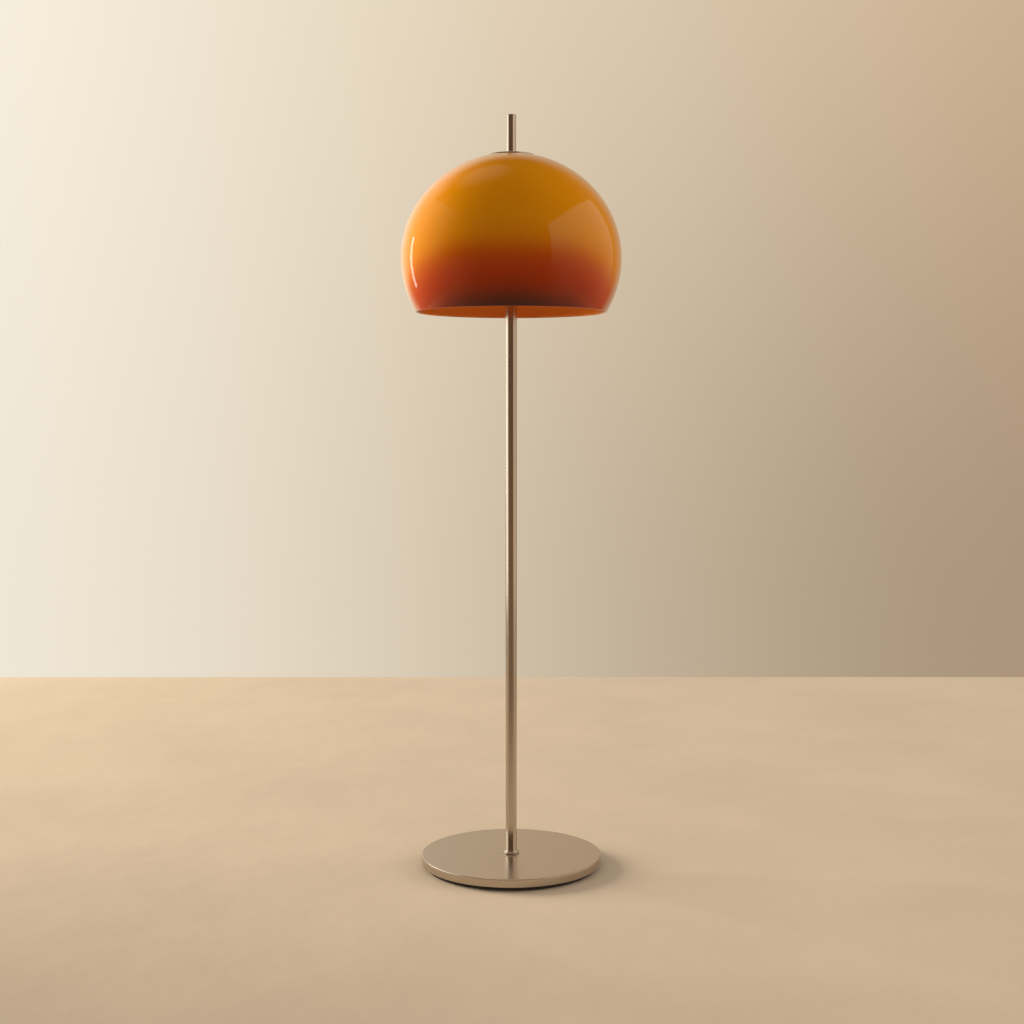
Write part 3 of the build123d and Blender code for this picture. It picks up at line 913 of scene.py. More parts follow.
NICKEL: Colour = (0.58, 0.505, 0.42)
BRASS: Colour = (0.72, 0.52, 0.22)
PLATED = "satin_nickel"
GLASS_STOPS = (
    (0.00, srgb(54, 18, 8)), (0.06, srgb(72, 24, 7)), (0.14, srgb(148, 46, 5)),
    (0.24, srgb(172, 52, 4)), (0.34, srgb(190, 79, 5)), (0.44, srgb(215, 127, 5)),
    (0.56, srgb(219, 134, 5)), (1.00, srgb(227, 141, 8)))
GLASS_INSIDE_STOPS = (
    (0.00, srgb(212, 124, 46)), (0.10, srgb(228, 144, 60)), (0.50, srgb(234, 156, 74)),
    (1.00, srgb(234, 164, 86)))
BLASTED, ROUND, LENGTHWISE = Grain.BLASTED, Grain.ROUND, Grain.LENGTHWISE


class Palette:
    """Every finish of the lamp by name, built as materials."""

    FINISHES: tuple[Finish, ...] = (
        Metal("nickel_tube", PLATED, NICKEL, 0.16, 0.05, LENGTHWISE, 2600.0, 0.000001),
        Metal("nickel_turned", PLATED, NICKEL, 0.20, 0.06, ROUND, 2400.0, 0.000004),
        Metal("nickel_spun", PLATED, NICKEL, 0.255, 0.03, ROUND, 1600.0, 0.0000004, 0.02),
        Metal("nickel_satin", PLATED, NICKEL, 0.24, 0.06, BLASTED, 2500.0, 0.000006),
        Metal("brass_turned", "brass", BRASS, 0.30, 0.06, ROUND, 1800.0, 0.00001, 0.12),
        Metal("brass_plain", "brass", BRASS, 0.31, 0.08, BLASTED, 1500.0, 0.00001, 0.12),
        Metal(
            "zinc_plate", "zinc_steel", (0.55, 0.56, 0.57), 0.32, 0.12, BLASTED, 900.0, 0.00001,
            0.15),
        Metal(
            "cap_nickel", "lamp_cap_nickel", (0.66, 0.64, 0.60), 0.24, 0.08, BLASTED, 1200.0,
            0.000005, 0.08),
        Moulded(
            "cast_lacquer", "cast_iron_black", (0.035, 0.034, 0.033), (0.06, 0.056, 0.05), 0.6,
            0.15, 450.0, 0.0001, wear=0.5),
        Moulded(
            "black_powder_coat", "black_steel", (0.03, 0.03, 0.03), (0.022, 0.022, 0.022), 0.5, 0.1,
            1400.0, 0.00004, dust=0.3),
        Moulded(
            "black_rubber", "black_rubber", (0.024, 0.017, 0.013), (0.032, 0.023, 0.018), 0.75,
            0.12, 800.0, 0.00004, 0.3, dust=0.4),
        Moulded(
            "dark_silicone", "clear_silicone", (0.10, 0.08, 0.06), (0.08, 0.065, 0.05), 0.45, 0.1,
            500.0, 0.00001, 0.4),
        Moulded(
            "black_thermoset", "black_thermoset", (0.018, 0.017, 0.016), (0.026, 0.024, 0.022),
            0.25, 0.06, 900.0, 0.000008, wear=0.25),
        Moulded(
            "white_ceramic", "white_ceramic", (0.78, 0.76, 0.70), (0.70, 0.68, 0.62), 0.5, 0.1,
            350.0, 0.00002, coat=0.2),
        Moulded(
            "white_nylon", "white_nylon", (0.80, 0.79, 0.75), (0.74, 0.73, 0.68), 0.42, 0.08, 500.0,
            0.00001),
        Moulded(
            "terminal_nylon", "terminal_nylon", (0.72, 0.70, 0.64), (0.66, 0.64, 0.58), 0.5, 0.08,
            600.0, 0.00001),
        CasedGlass("amber_glass", "amber_glass", GLASS_STOPS),
        CasedGlass("amber_glass_inside", "amber_glass", GLASS_INSIDE_STOPS, roughness=0.12),
        OpalGlass("opal_glass", "opal_glass"),
        WovenSleeve("wire_sleeve", "wire_sleeve"))

    def __init__(self) -> None:
        """Builds every material once."""
        effects = Effects()
        self.materials = {finish.name: finish.build(effects) for finish in self.FINISHES}
        self.slots = {finish.name: finish.slot for finish in self.FINISHES}


# ---- pieces --------------------------------------------------------------------------------------
@dataclass
class SubAssembly:
    """What every sub-assembly needs to hand its pieces over."""
    palette: Palette
    plated: dict[str, bpy.types.Collection]
    body: str = "stand"

    def hand_over(
            self, node: str, kind: str, mesh: Mesh, *finishes: str, place: Matrix | None = None,
            crease: float = 34.0) -> None:
        """Turns a finished mesh into the piece that stands for a CAD node.

        Args:
            node: The CAD node.
            kind: Last part of the piece's name.
            mesh: The piece's mesh in millimetres, which is freed.
            finishes: Its materials, in the order of their indices; the first one's slot decides if
                it joins the plated groups.
            place: Where the mesh goes, if it isn't in place yet.
            crease: Degrees between faces from which an edge stays sharp.
        """
        placed(mesh, Matrix.Scale(MM, 4) @ (place or Matrix.Identity(4)))
        name, slot = f"{node}_{kind}", self.palette.slots[finishes[0]]
        data = meshed(name, mesh)
        for finish in finishes:
            data.materials.append(self.palette.materials[finish])
        data.shade_smooth()
        data.set_sharp_from_angle(angle=radians(crease))
        piece = shown(name, data)
        weighted = piece.modifiers.new("even_shading", "WEIGHTED_NORMAL")
        weighted.keep_sharp = True
        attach(piece, self.body)
        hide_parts(node)
        if slot == PLATED:
            self.plated["plated"].objects.link(piece)
            if self.body == "stand":
                self.plated["plated_stand"].objects.link(piece)
        LOG.info("%s: %d faces", name, len(data.polygons))

    def dress(self, finish: str, *nodes: str) -> None:
        """Gives carried-over CAD nodes their material.

        Args:
            finish: Name of the finish.
            nodes: The nodes.
        """
        for node in nodes:
            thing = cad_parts[node]
            thing.data.materials.clear()
            thing.data.materials.append(self.palette.materials[finish])
            LOG.info("%s: CAD shape in %s", node, finish)


@dataclass
class Base(SubAssembly):
    """Round weighted base on a recessed rubber ring."""
    radius: float = 181.0
    top: float = 25.0
    gap: float = 8.5
    wall: float = 2.0
    edge: float = 2.0
    foot_outer: float = 172.0
    foot_inner: float = 160.0
    groove_offset: float = 2.5
    groove_half: float = 1.2
    groove_depth: float = 0.8
    plate_thickness: float = 1.5
    plate_gap: float = 0.4
    screw_circle: float = 140.0
    screw_radius: float = 2.0
    screw_length: float = 9.0
    recess: tuple[float, float, float] = (4.4, 0.9, 1.6)
    cord_height: float = 16.5
    cord_hole: float = 6.0
    cord_bore: float = 3.4
    lip: float = 1.5
    lip_inside: float = 1.7
    neck_hole: float = 6.7

    def cord_way(self) -> Matrix:
        """Axis of the cord entry, at the back."""
        return Matrix.Translation((0, 0, self.cord_height)) @ Matrix.Rotation(-pi / 2, 4, "X")

    def cover(self) -> None:
        """Spun cover with a rolled upper edge and the cord hole."""
        inside, under = self.radius - self.wall, self.top - self.wall
        mesh = turned(
            (self.radius, self.gap), (self.radius, self.top), (self.neck_hole, self.top),
            (self.neck_hole, under), (inside, under), (inside, self.gap), steps=192)
        soften(mesh, (self.radius, self.top, self.edge), segments=6)
        soften(mesh, (self.radius, self.gap, 0.5), segments=2)
        hole = placed(prism(self.cord_hole, self.radius - 8, self.radius + 4, 32), self.cord_way())
        self.hand_over("base_cover", "skin", shaped(mesh, hole), "nickel_spun")

    def foot(self) -> None:
        """Rubber ring with two grip grooves in its sole."""
        middle, half = (self.foot_outer + self.foot_inner) / 2, self.groove_half
        outline = [(self.foot_inner, self.gap), (self.foot_inner, 0)]
        for centre in (middle - self.groove_offset, middle + self.groove_offset):
            outline += [
                (centre - half, 0), (centre - half / 2, self.groove_depth),
                (centre + half / 2, self.groove_depth), (centre + half, 0)]
        outline += [(self.foot_outer, 0), (self.foot_outer, self.gap)]
        mesh = turned(*outline, steps=160)
        soften(mesh, (self.foot_inner, 0, 1.0), (self.foot_outer, 0, 1.0))
        self.hand_over("foot_ring", "moulded", mesh, "black_rubber")

    def bottom_plate(self) -> None:
        """Closing disc with countersunk holes."""
        edge, radius = self.radius - self.wall - self.plate_gap, self.screw_radius
        mesh = ring(0, edge, self.gap, self.gap + self.plate_thickness, 128)
        soften(mesh, (edge, self.gap, 0.4))
        for place in self.screw_places():
            sink = turned(
                (0, -1), (2 * radius + 0.05, -1), (2 * radius + 0.05, 0),
                (radius, self.plate_thickness), (radius, 3), (0, 3), steps=32)
            mesh = shaped(mesh, placed(sink, place))
        self.hand_over("base_bottom_plate", "coated", mesh, "black_powder_coat")

    def screw_places(self) -> list[Matrix]:
        """The four places on the screw circle, at the plate's underside."""
        corner = Matrix.Translation((self.screw_circle, 0, self.gap))
        return [about_axis(45 + 90 * turn) @ corner for turn in range(4)]

    def screws(self) -> None:
        """Countersunk screws with a cross recess."""
        head, shank = 2 * self.screw_radius - 0.05, self.screw_radius - 0.1
        long, wide, deep = self.recess
        made = []
        for place in self.screw_places():
            screw = turned(
                (0, 0), (head, 0), (head, 0.2), (shank, self.plate_thickness),
                (shank, self.screw_length), (0, self.screw_length), steps=32)
            for size in ((long, wide, deep), (wide, long, deep)):
                screw = shaped(screw, brick(size, (0, 0, 0.1)))
            made.append(placed(screw, place))
        self.hand_over("plate_screws", "cross", joined(*made), "zinc_plate")

    def grommet(self) -> None:
        """Rubber grommet of the cord entry, with a rounded outer lip."""
        hole, bore, rim = self.cord_hole, self.cord_bore, self.cord_hole + self.lip
        outside, inside = self.radius + self.lip, self.radius - self.wall - self.lip_inside
        wall_out, wall_in = self.radius, self.radius - self.wall - 0.2
        mesh = turned(
            (bore, inside), (bore, outside), (rim, outside), (rim, wall_out),
            (hole - 0.1, wall_out), (hole - 0.1, wall_in), (hole + 0.4, wall_in),
            (hole + 0.4, inside), steps=48)
        soften(mesh, (rim, outside, 1.0), (bore, outside, 0.7))
        self.hand_over("cable_grommet", "moulded", mesh, "black_rubber", place=self.cord_way())

    def build(self) -> None:
        """Builds and dresses the base."""
        self.cover()
        self.foot()
        self.bottom_plate()
        self.screws()
        self.grommet()
        self.dress("cast_lacquer", "ballast_weight")
        self.dress("zinc_plate", "cord_clamp", "cord_clamp_screws", "stem_washer", "stem_nut")
        self.dress("terminal_nylon", "terminal_block")
        self.dress("brass_plain", "stem_nipple", "stem_foot_bushing")


@dataclass
class Stem(SubAssembly):
    """Long tube with its beaded foot ring, and the guide rod above it."""
    radius: float = 11.1
    wall: float = 1.5
    low: float = 25.0
    high: float = 1340.0
    rod_radius: float = 9.525
    shoulder_radius: float = 14.5
    shoulder: float = 6.0
    top: float = 1500.0
    plug: float = 1.5
    plug_depth: float = 8.0
    spigot_depth: float = 18.0
    stud_height: float = 24.0
    collar_radius: float = 12.2
    collar_height: float = 6.6

    def tube(self) -> None:
        """The long tube."""
        mesh = ring(self.radius - self.wall, self.radius, self.low, self.high, 64)
        soften(mesh, (self.radius, self.high, 0.3), segments=2)
        self.hand_over("stem_tube", "plated", mesh, "nickel_tube")

    def foot_collar(self) -> None:
        """Beaded ring at the foot of the stem, hollowed towards the tube."""
        low, inner, top = self.low, self.radius + 0.05, self.low + self.collar_height
        shape = Turning().line((inner, low), (14.4, low)).arc((14.1, low + 1.8), 134, 10)
        shape.line(
            (13.2, low + 3.9), (12.5, low + 5.0), (self.collar_radius, top), (inner, top))
        mesh = soften(shape.turn(), (self.collar_radius, top, 0.4))
        self.hand_over("foot_collar", "beaded", mesh, "nickel_tube")

    def guide(self) -> None:
        """Guide rod and its flat end plug, with a fine seam between them."""
        seam, radius, inner = self.top - self.plug, self.rod_radius, self.rod_radius - self.wall
        tube = ring(inner, radius, self.high + self.shoulder, seam, 64)
        soften(tube, (radius, seam, 0.15), segments=2)
        self.hand_over("guide_rod", "plated", tube, "nickel_tube")
        plug = turned(
            (0, seam - self.plug_depth), (inner, seam - self.plug_depth), (inner, seam),
            (radius, seam), (radius, self.top), (0, self.top), steps=64)
        soften(plug, (radius, self.top, 0.5), (radius, seam, 0.15))
        self.hand_over("rod_end_plug", "turned", plug, "nickel_turned")

    def shoulder_joint(self) -> None:
        """Turned joint at the top of the tube, which the collar rests on."""
        spigot, stud, low = self.radius - self.wall, self.rod_radius - self.wall, self.high
        edge, high = self.shoulder_radius, self.high + self.shoulder
        mesh = turned(
            (0, low - self.spigot_depth), (spigot, low - self.spigot_depth), (spigot, low),
            (edge, low), (edge, high), (stud, high), (stud, low + self.stud_height),
            (0, low + self.stud_height), steps=64)
        soften(mesh, (edge, low, 1.2), (edge, high, 0.5))
        self.hand_over("stem_top_bushing", "turned", mesh, "nickel_turned")

    def build(self) -> None:
        """Builds the stem."""
        self.tube()
        self.foot_collar()
        self.guide()
        self.shoulder_joint()


@dataclass
class LampCluster(SubAssembly):
    """Hub on the stem with three lampholders and their bulbs."""
    arm_height: float = 1310.0
    azimuths: tuple[float, ...] = (90.0, 210.0, 330.0)
    hub_radius: float = 30.0
    hub_wall: float = 3.0
    hub_floor: float = 1290.0
    hub_lid: float = 1326.0
    neck_low: float = 1278.0
    neck_radius: float = 17.0
    bore: float = 11.2
    arm_hole: float = 5.0
    arm_bore: float = 3.5
    arm_start: float = 22.6
    arm_end: float = 40.0
    grub_radius: float = 2.45
    grub_length: float = 5.2
    lid_thickness: float = 3.0
    lid_screw_circle: float = 22.0
    lid_screw_radius: float = 2.8
    lid_screw_height: float = 1.8
    holder_start: float = 32.0
    holder_end: float = 88.0
    holder_radius: float = 20.0
    holder_wall: float = 2.0
    holder_crown: tuple[Point, ...] = (
        (5.0, 0), (8.0, 0), (8.0, 6), (10.6, 8.2), (14.6, 11.4), (17.8, 14.8), (19.3, 18),
        (19.3, 19))
    crown_length: float = 19.4
    rib: tuple[Point, ...] = ((0.75, 0.9), (0.75, 1.5), (0.0, 2.4), (0.0, 4.0))
    ribs: int = 7
    rib_margin: float = 3.5
    insert_start: float = 50.0
    insert_end: float = 64.0
    bulb_start: float = 66.0
    cap_radius: float = 13.2
    cap_end: float = 92.0
    cap_pitch: float = 3.6
    globe_radius: float = 27.5
    globe_tip: float = 161.0
    waist_length: float = 38.0

    def hub(self) -> None:
        """Turned cup with a clamping neck, and its grub screw."""
        inner, floor, radius = self.hub_radius - self.hub_wall, self.hub_floor, self.hub_radius
        step = floor + self.hub_wall
        cup = turned(
            (self.bore, self.neck_low), (self.neck_radius, self.neck_low),
            (self.neck_radius, floor), (radius, floor), (radius, self.hub_lid),
            (inner, self.hub_lid), (inner, step), (self.bore, step))
        soften(cup, (radius, floor, 4.0), segments=5)
        soften(
            cup, (self.neck_radius, self.neck_low, 1.0), (self.neck_radius, floor, 1.2),
            (radius, self.hub_lid, 0.4))
        for azimuth in self.azimuths:
            way = placed(prism(self.arm_hole, 22, 36, 24), arm_place(azimuth, self.arm_height))
            cup = shaped(cup, way)
        front = arm_place(-90, self.neck_low + 6)
        cup = shaped(cup, placed(prism(2.5, 9, 24, 24), front))
        self.hand_over("hub_body", "turned", cup, "nickel_turned")
        screw = ring(0, self.grub_radius, 0, self.grub_length, 24)
        soften(screw, (self.grub_radius, self.grub_length, 0.4), segments=2)
        screw = shaped(screw, prism(1.45, 2.6, 6, 6))
        self.hand_over(
            "hub_grub_screw", "hex", screw, "zinc_plate",
            place=front @ Matrix.Translation((0, 0, 11.3)))

    def lid(self) -> None:
        """Lid of the hub and its three pan-head screws."""
        high = self.hub_lid + self.lid_thickness
        lid = ring(self.bore, self.hub_radius, self.hub_lid, high)
        soften(lid, (self.hub_radius, high, 1.2), (self.bore, high, 0.4))
        self.hand_over("hub_cover", "turned", lid, "nickel_turned")
        shank, head, top = 1.5, self.lid_screw_radius, high + self.lid_screw_height
        made = []
        for turn in range(3):
            screw = turned(
                (0, high - 2), (shank, high - 2), (shank, high), (head, high), (head, top),
                (0, top), steps=24)
            soften(screw, (head, top, 0.8))
            screw = shaped(screw, brick((8, 0.8, 1.6), (0, 0, top)))
            out = Matrix.Translation((self.lid_screw_circle, 0, 0))
            made.append(placed(screw, about_axis(30 + 120 * turn) @ out @ about_axis(40 * turn)))
        self.hand_over("hub_cover_screws", "slotted", joined(*made), "zinc_plate")

    def holder(self, number: int, place: Matrix) -> None:
        """Lampholder shell with a domed crown and a ribbed skirt, and its fired insert.

        Args:
            number: Number of the lampholder.
            place: Its placement.
        """
        radius, inner = self.holder_radius, self.holder_radius - self.holder_wall
        start, end, pitch = self.holder_start, self.holder_end, self.rib[-1][1]
        low = end - self.rib_margin - self.ribs * pitch
        shape = Turning(72).line(*((wide, start + up) for wide, up in self.holder_crown))
        shape.line((radius, start + self.crown_length), (radius, low))
        for rib in range(self.ribs):
            shape.line(*((radius - deep, low + rib * pitch + up) for deep, up in self.rib))
        shape.line(
            (radius, end), (inner, end), (inner, start + 18), (11.0, start + 10), (5.0, start + 8))
        mesh = soften(
            shape.turn(), (radius, end, 0.9), (inner, end, 0.5), (8.0, start, 0.6), segments=2)
        self.hand_over(
            f"lampholder_shell_{number}", "ribbed", mesh, "black_thermoset", place=place,
            crease=40.0)
        rim, low, high = inner - 0.3, self.insert_start, self.insert_end
        insert = turned(
            (0, low), (rim, low), (rim, high), (rim - 1.6, high), (rim - 1.6, high - 2),
            (6.0, high - 2), (4.6, high), (3.5, high), (3.5, high + 1.6), (2.6, high + 2.0),
            (0, high + 2.0), steps=48)
        soften(insert, (rim, low, 0.6), segments=2)
        self.hand_over(
            f"lampholder_insert_{number}", "fired", insert, "white_ceramic", place=place)

    def screw_cap(self, number: int, place: Matrix) -> None:
        """Screw cap of a bulb: wound thread, rolled end, insulator and contact.

        Args:
            number: Number of the bulb.
            place: Its placement.
        """
        crest, root, tip = self.cap_radius, self.cap_radius - 1.0, self.bulb_start
        low, high, shut = tip + 5.0, self.cap_end - 3.0, 0.01
        mesh = threaded(root, crest, self.cap_pitch, low, high)
        drawn_in(
            mesh, high, (crest - 0.1, high + 0.4), (crest, high + 0.9), (crest, self.cap_end),
            (crest - 1.1, self.cap_end), (crest - 1.1, high), (shut, high))
        drawn_in(mesh, low, (root - 0.3, low - 0.5), (root - 2.2, low - 1.4))
        shell_faces = set(mesh.faces)
        drawn_in(mesh, low - 1.4, (5.2, tip + 1.4), (4.8, tip + 0.9))
        insulator = [face for face in mesh.faces if face not in shell_faces]
        drawn_in(mesh, tip + 0.9, (4.4, tip + 0.3), (3.0, tip), (shut, tip))
        for face in insulator:
            face.material_index = 1
        self.hand_over(
            f"bulb_cap_{number}", "threaded", tidy(mesh), "cap_nickel", "black_thermoset",
            place=place, crease=50.0)

    def globe(self, number: int, place: Matrix) -> None:
        """Opal bulb: waisted neck that flows into a round crown.

        Args:
            number: Number of the bulb.
            place: Its placement.
        """
        neck, low = self.cap_radius - 1.25, self.cap_end - 6
        crown = self.globe_tip - self.globe_radius
        waist = crown - self.waist_length
        lean = 2 * atan2(self.globe_radius - neck, crown - waist)
        hollow = (crown - waist) / sin(lean) - self.globe_radius
        shape = Turning(72).line((0, low), (neck, low), (neck, waist))
        shape.arc((neck + hollow, waist), -degrees(lean), 10)
        shape.arc((0, crown), 90 + degrees(lean), 26)
        self.hand_over(
            f"bulb_globe_{number}", "opal", shape.turn(closed=False), "opal_glass", place=place,
            crease=60.0)

    def nipple(self, number: int, place: Matrix) -> None:
        """Hollow threaded arm of a lampholder.

        Args:
            number: Number of the arm.
            place: Its placement.
        """
        low, high, bore = self.arm_start, self.arm_end, self.arm_bore
        mesh = threaded(self.arm_hole - 0.3, self.arm_hole, 1.0, low, high, 32)
        drawn_in(mesh, high, (bore, high))
        drawn_in(mesh, low, (bore, low), (bore, high))
        self.hand_over(
            f"arm_nipple_{number}", "threaded", tidy(mesh), "brass_plain", place=place, crease=60.0)

    def build(self) -> None:
        """Builds and dresses the cluster."""
        self.hub()
        self.lid()
        for number, azimuth in enumerate(self.azimuths, start=1):
            for make in (self.nipple, self.holder, self.screw_cap, self.globe):
                make(number, arm_place(azimuth, self.arm_height))
            self.dress("wire_sleeve", f"holder_wire_{number}")
        self.dress("wire_sleeve", "supply_wire")
        self.dress("white_ceramic", "hub_terminal")
        self.dress("zinc_plate", "arm_locknuts")


@dataclass
class HeightCollar(SubAssembly):
    """Sliding collar with its bush and washer."""
    body: str = "height_collar"
    low: float = 1346.2
    high: float = 1370.0
    radius: float = 18.0
    bush_radius: float = 12.0
    bore: float = 9.6
    washer: float = 2.0
    lock_height: float = 1358.0
    lock_hole: float = 3.0
    boss_radius: float = 7.0
    boss_start: float = 13.5
    boss_end: float = 24.0

    def collar(self) -> None:
        """Turned collar with the boss of the lock screw."""
        collar = ring(self.bush_radius, self.radius, self.low, self.high)
        soften(collar, (self.radius, self.low, 1.0), (self.radius, self.high, 1.0))
        boss = ring(self.lock_hole, self.boss_radius, self.boss_start, self.boss_end, 48)
        soften(boss, (self.boss_radius, self.boss_end, 0.8))
        mesh = shaped(collar, placed(boss, arm_place(-90, self.lock_height)), "UNION")
        self.hand_over("height_collar", "turned", mesh, "nickel_turned")

    def bush(self) -> None:
        """Nylon bush and the washer under the shade's sleeve."""
        bush = ring(self.bore, self.bush_radius, self.low, self.high, 64)
        soften(bush, (self.bore, self.low, 0.5), (self.bore, self.high, 0.5), segments=2)
        self.hand_over("collar_bush", "moulded", bush, "white_nylon")
        edge, top = self.radius - 1, self.high + self.washer
        washer = ring(self.bore + 0.2, edge, self.high, top, 72)
        soften(washer, (edge, self.high, 0.4), (edge, top, 0.4), segments=2)
        self.hand_over("thrust_washer", "moulded", washer, "white_nylon")

    def build(self) -> None:
        """Builds and dresses the collar."""
        self.collar()
        self.bush()
        self.dress("white_nylon", "pressure_pad")


@dataclass
class LockScrew(SubAssembly):
    """Thumb screw of the height collar."""
    body: str = "lock_screw"
    height: float = 1358.0
    shank_radius: float = 2.9
    shank_start: float = 13.6
    knob_start: float = 24.4
    knob_radius: float = 11.0
    knob_length: float = 12.0
    flutes: int = 12
    flute_depth: float = 1.3

    def build(self) -> None:
        """Fluted knob with a dished face, on its shank."""
        start, end, radius = self.knob_start, self.knob_start + self.knob_length, self.knob_radius
        mesh = turned(
            (0, self.shank_start), (self.shank_radius, self.shank_start),
            (self.shank_radius, start), (radius - 3, start), (radius, start + 1.2), (radius, end),
            (radius - 3.6, end), (radius - 4.4, end - 1.0), (0, end - 1.0), steps=144)
        soften(mesh, (radius, end, 1.2), (radius, start + 1.2, 0.6))
        self.hand_over(
            "lock_screw", "fluted", fluted(mesh, self.flutes, self.flute_depth, radius - 2.2),
            "nickel_satin", place=arm_place(-90, self.height), crease=45.0)


@dataclass
class Shade(SubAssembly):
    """Glass dome and the stack that carries it."""
    body: str = "shade"
    radius: float = 218.2
    equator: float = 1217.9
    rise: float = 206.2
    fall: float = 208.8
    rim: float = 1113.5
    seat: float = 1418.5
    glass: float = 4.0
    hole: float = 15.0
    cap_radius: float = 45.0
    cap_thickness: float = 2.5
    gasket: float = 1.0
    gasket_inset: float = 2.0
    sleeve_low: float = 1372.2
    sleeve_radius: float = 13.5
    thread_pitch: float = 1.5
    thread_depth: float = 0.45
    thread_start: float = 12.0
    neck_radius: float = 12.0
    bore: float = 9.6
    lower_gasket: float = 30.0
    washer_radius: float = 31.0
    washer: float = 2.0
    nut_radius: float = 22.0
    nut_height: float = 8.0
    rise_steps: int = 34
    fall_steps: int = 18
    lip_steps: int = 10

    def dome(self) -> None:
        """Blown dome: two half ellipses, a fire-polished lip and a ground seat."""
        lip, middle = self.glass / 2, (0, self.equator)
        rim = self.rim + lip / 2
        down, up = (self.equator - rim) / self.fall, (self.seat - self.equator) / self.rise
        lean = atan2(self.radius * down / self.fall / sqrt(1 - down ** 2), 1)
        wide, tall, deep = (
            size - self.glass for size in (self.radius, self.rise, self.fall))
        shape = Turning(192).line(
            (self.hole, self.seat), (self.radius * sqrt(1 - up ** 2), self.seat))
        shape.arc(middle, -angle_of(up), self.rise_steps, self.rise / self.radius)
        shape.arc(middle, -angle_of(down), self.fall_steps, self.fall / self.radius)
        centre = (
            self.radius * sqrt(1 - down ** 2) - lip * cos(lean), rim + lip * sin(lean))
        shape.arc(centre, -180, self.lip_steps)
        inner_down = (self.equator - centre[1] - lip * sin(lean)) / deep
        shape.last.co.x = wide * sqrt(1 - inner_down ** 2)
        shape.arc(middle, angle_of(inner_down), self.fall_steps, deep / wide)
        inner_up = (self.seat - self.glass - self.equator) / tall
        shape.arc(middle, angle_of(inner_up), self.rise_steps, tall / wide)
        shape.line((self.hole, self.seat - self.glass))
        mesh, core = shape.turn(), Vector((0, 0, self.equator))
        for face in mesh.faces:
            place = face.calc_center_median()
            if face.normal.dot(place - core) < 0 and place.z > self.rim + 1.5:
                face.material_index = 1
        self.hand_over(
            "shade", "blown_glass", mesh, "amber_glass", "amber_glass_inside", crease=50.0)

    def cap(self) -> None:
        """Flat cap with a softened edge, and the gasket under it."""
        low, edge, neck = self.seat + self.gasket, self.cap_radius, self.neck_radius
        high = low + self.cap_thickness
        mesh = ring(neck, edge, low, high, 128)
        soften(mesh, (edge, high, 0.8), (edge, low, 0.3), (neck, high, 0.15))
        self.hand_over("cap_disc", "turned", mesh, "nickel_turned")
        edge -= self.gasket_inset
        gasket = ring(self.hole, edge, self.seat, low)
        soften(gasket, (edge, low, 0.3), (edge, self.seat, 0.3), segments=2)
        self.hand_over("upper_gasket", "cut", gasket, "dark_silicone")

    def sleeve(self) -> None:
        """Threaded sleeve that turns on the guide rod."""
        low, high, radius, neck = (
            self.sleeve_low, self.seat + self.gasket, self.sleeve_radius, self.neck_radius)
        top, thread_low = high + self.cap_thickness, low + self.thread_start
        mesh = threaded(radius - self.thread_depth, radius, self.thread_pitch, thread_low, high, 64)
        drawn_in(
            mesh, high, (neck, high), (neck, top - 0.15), (neck - 0.15, top), (self.bore, top),
            (self.bore, low))
        drawn_in(
            mesh, thread_low, (radius, thread_low - 0.6), (radius, low + 0.5), (radius - 0.5, low),
            (self.bore, low))
        self.hand_over("shade_sleeve", "threaded", tidy(mesh), "brass_turned", crease=50.0)

    def fastening(self) -> None:
        """Lower gasket, clamp washer and slotted ring nut."""
        under, edge = self.seat - self.glass, self.lower_gasket
        high = under - self.gasket
        gasket = ring(self.hole, edge, high, under)
        soften(gasket, (edge, high, 0.3), segments=2)
        self.hand_over("lower_gasket", "cut", gasket, "dark_silicone")
        low, inner, edge = high - self.washer, self.sleeve_radius, self.washer_radius
        washer = ring(inner, edge, low, high)
        soften(washer, (edge, low, 0.6), (edge, high, 0.4))
        self.hand_over("clamp_washer", "pressed", washer, "zinc_plate")
        edge, foot = self.nut_radius, low - self.nut_height
        nut = ring(inner, edge, foot, low)
        soften(nut, (edge, foot, 0.9), (edge, low, 0.5), (inner, foot, 0.4))
        for turn in range(4):
            slot = brick((6, 4, 20), (edge, 0, (foot + low) / 2))
            nut = shaped(nut, placed(slot, about_axis(45 + 90 * turn)))
        self.hand_over("ring_nut", "slotted", nut, "brass_turned")

    def build(self) -> None:
        """Builds the shade."""
        self.dome()
        self.cap()
        self.sleeve()
        self.fastening()


def angle_of(share: float) -> float:
    """Degrees whose sine is a share of the half axis."""
    return degrees(atan2(share, sqrt(1 - share ** 2)))


# ---- studio --------------------------------------------------------------------------------------
@dataclass(frozen=True)
class Card:
    """Area light or reflector card that the camera doesn't see."""
    name: str
    at: tuple[float, float, float]
    towards: tuple[float, float, float]
    size: tuple[float, float]
    level: float
    colour: Colour = (1.0, 0.96, 0.90)
    diffuse: bool = False
    glossy: bool = True
    receivers: str = ""


@dataclass(frozen=True)
class Window:
    """Opening in a side wall that only reflections see; its edges are slopes from the lamp."""
    side: float
    near: tuple[float, float]
    colour: Colour
    far: tuple[float, float] = (0.90, 0.80)
    top: tuple[float, float] = (0.94, 0.88)
    fade: tuple[float, float] = (-0.55, 0.62)


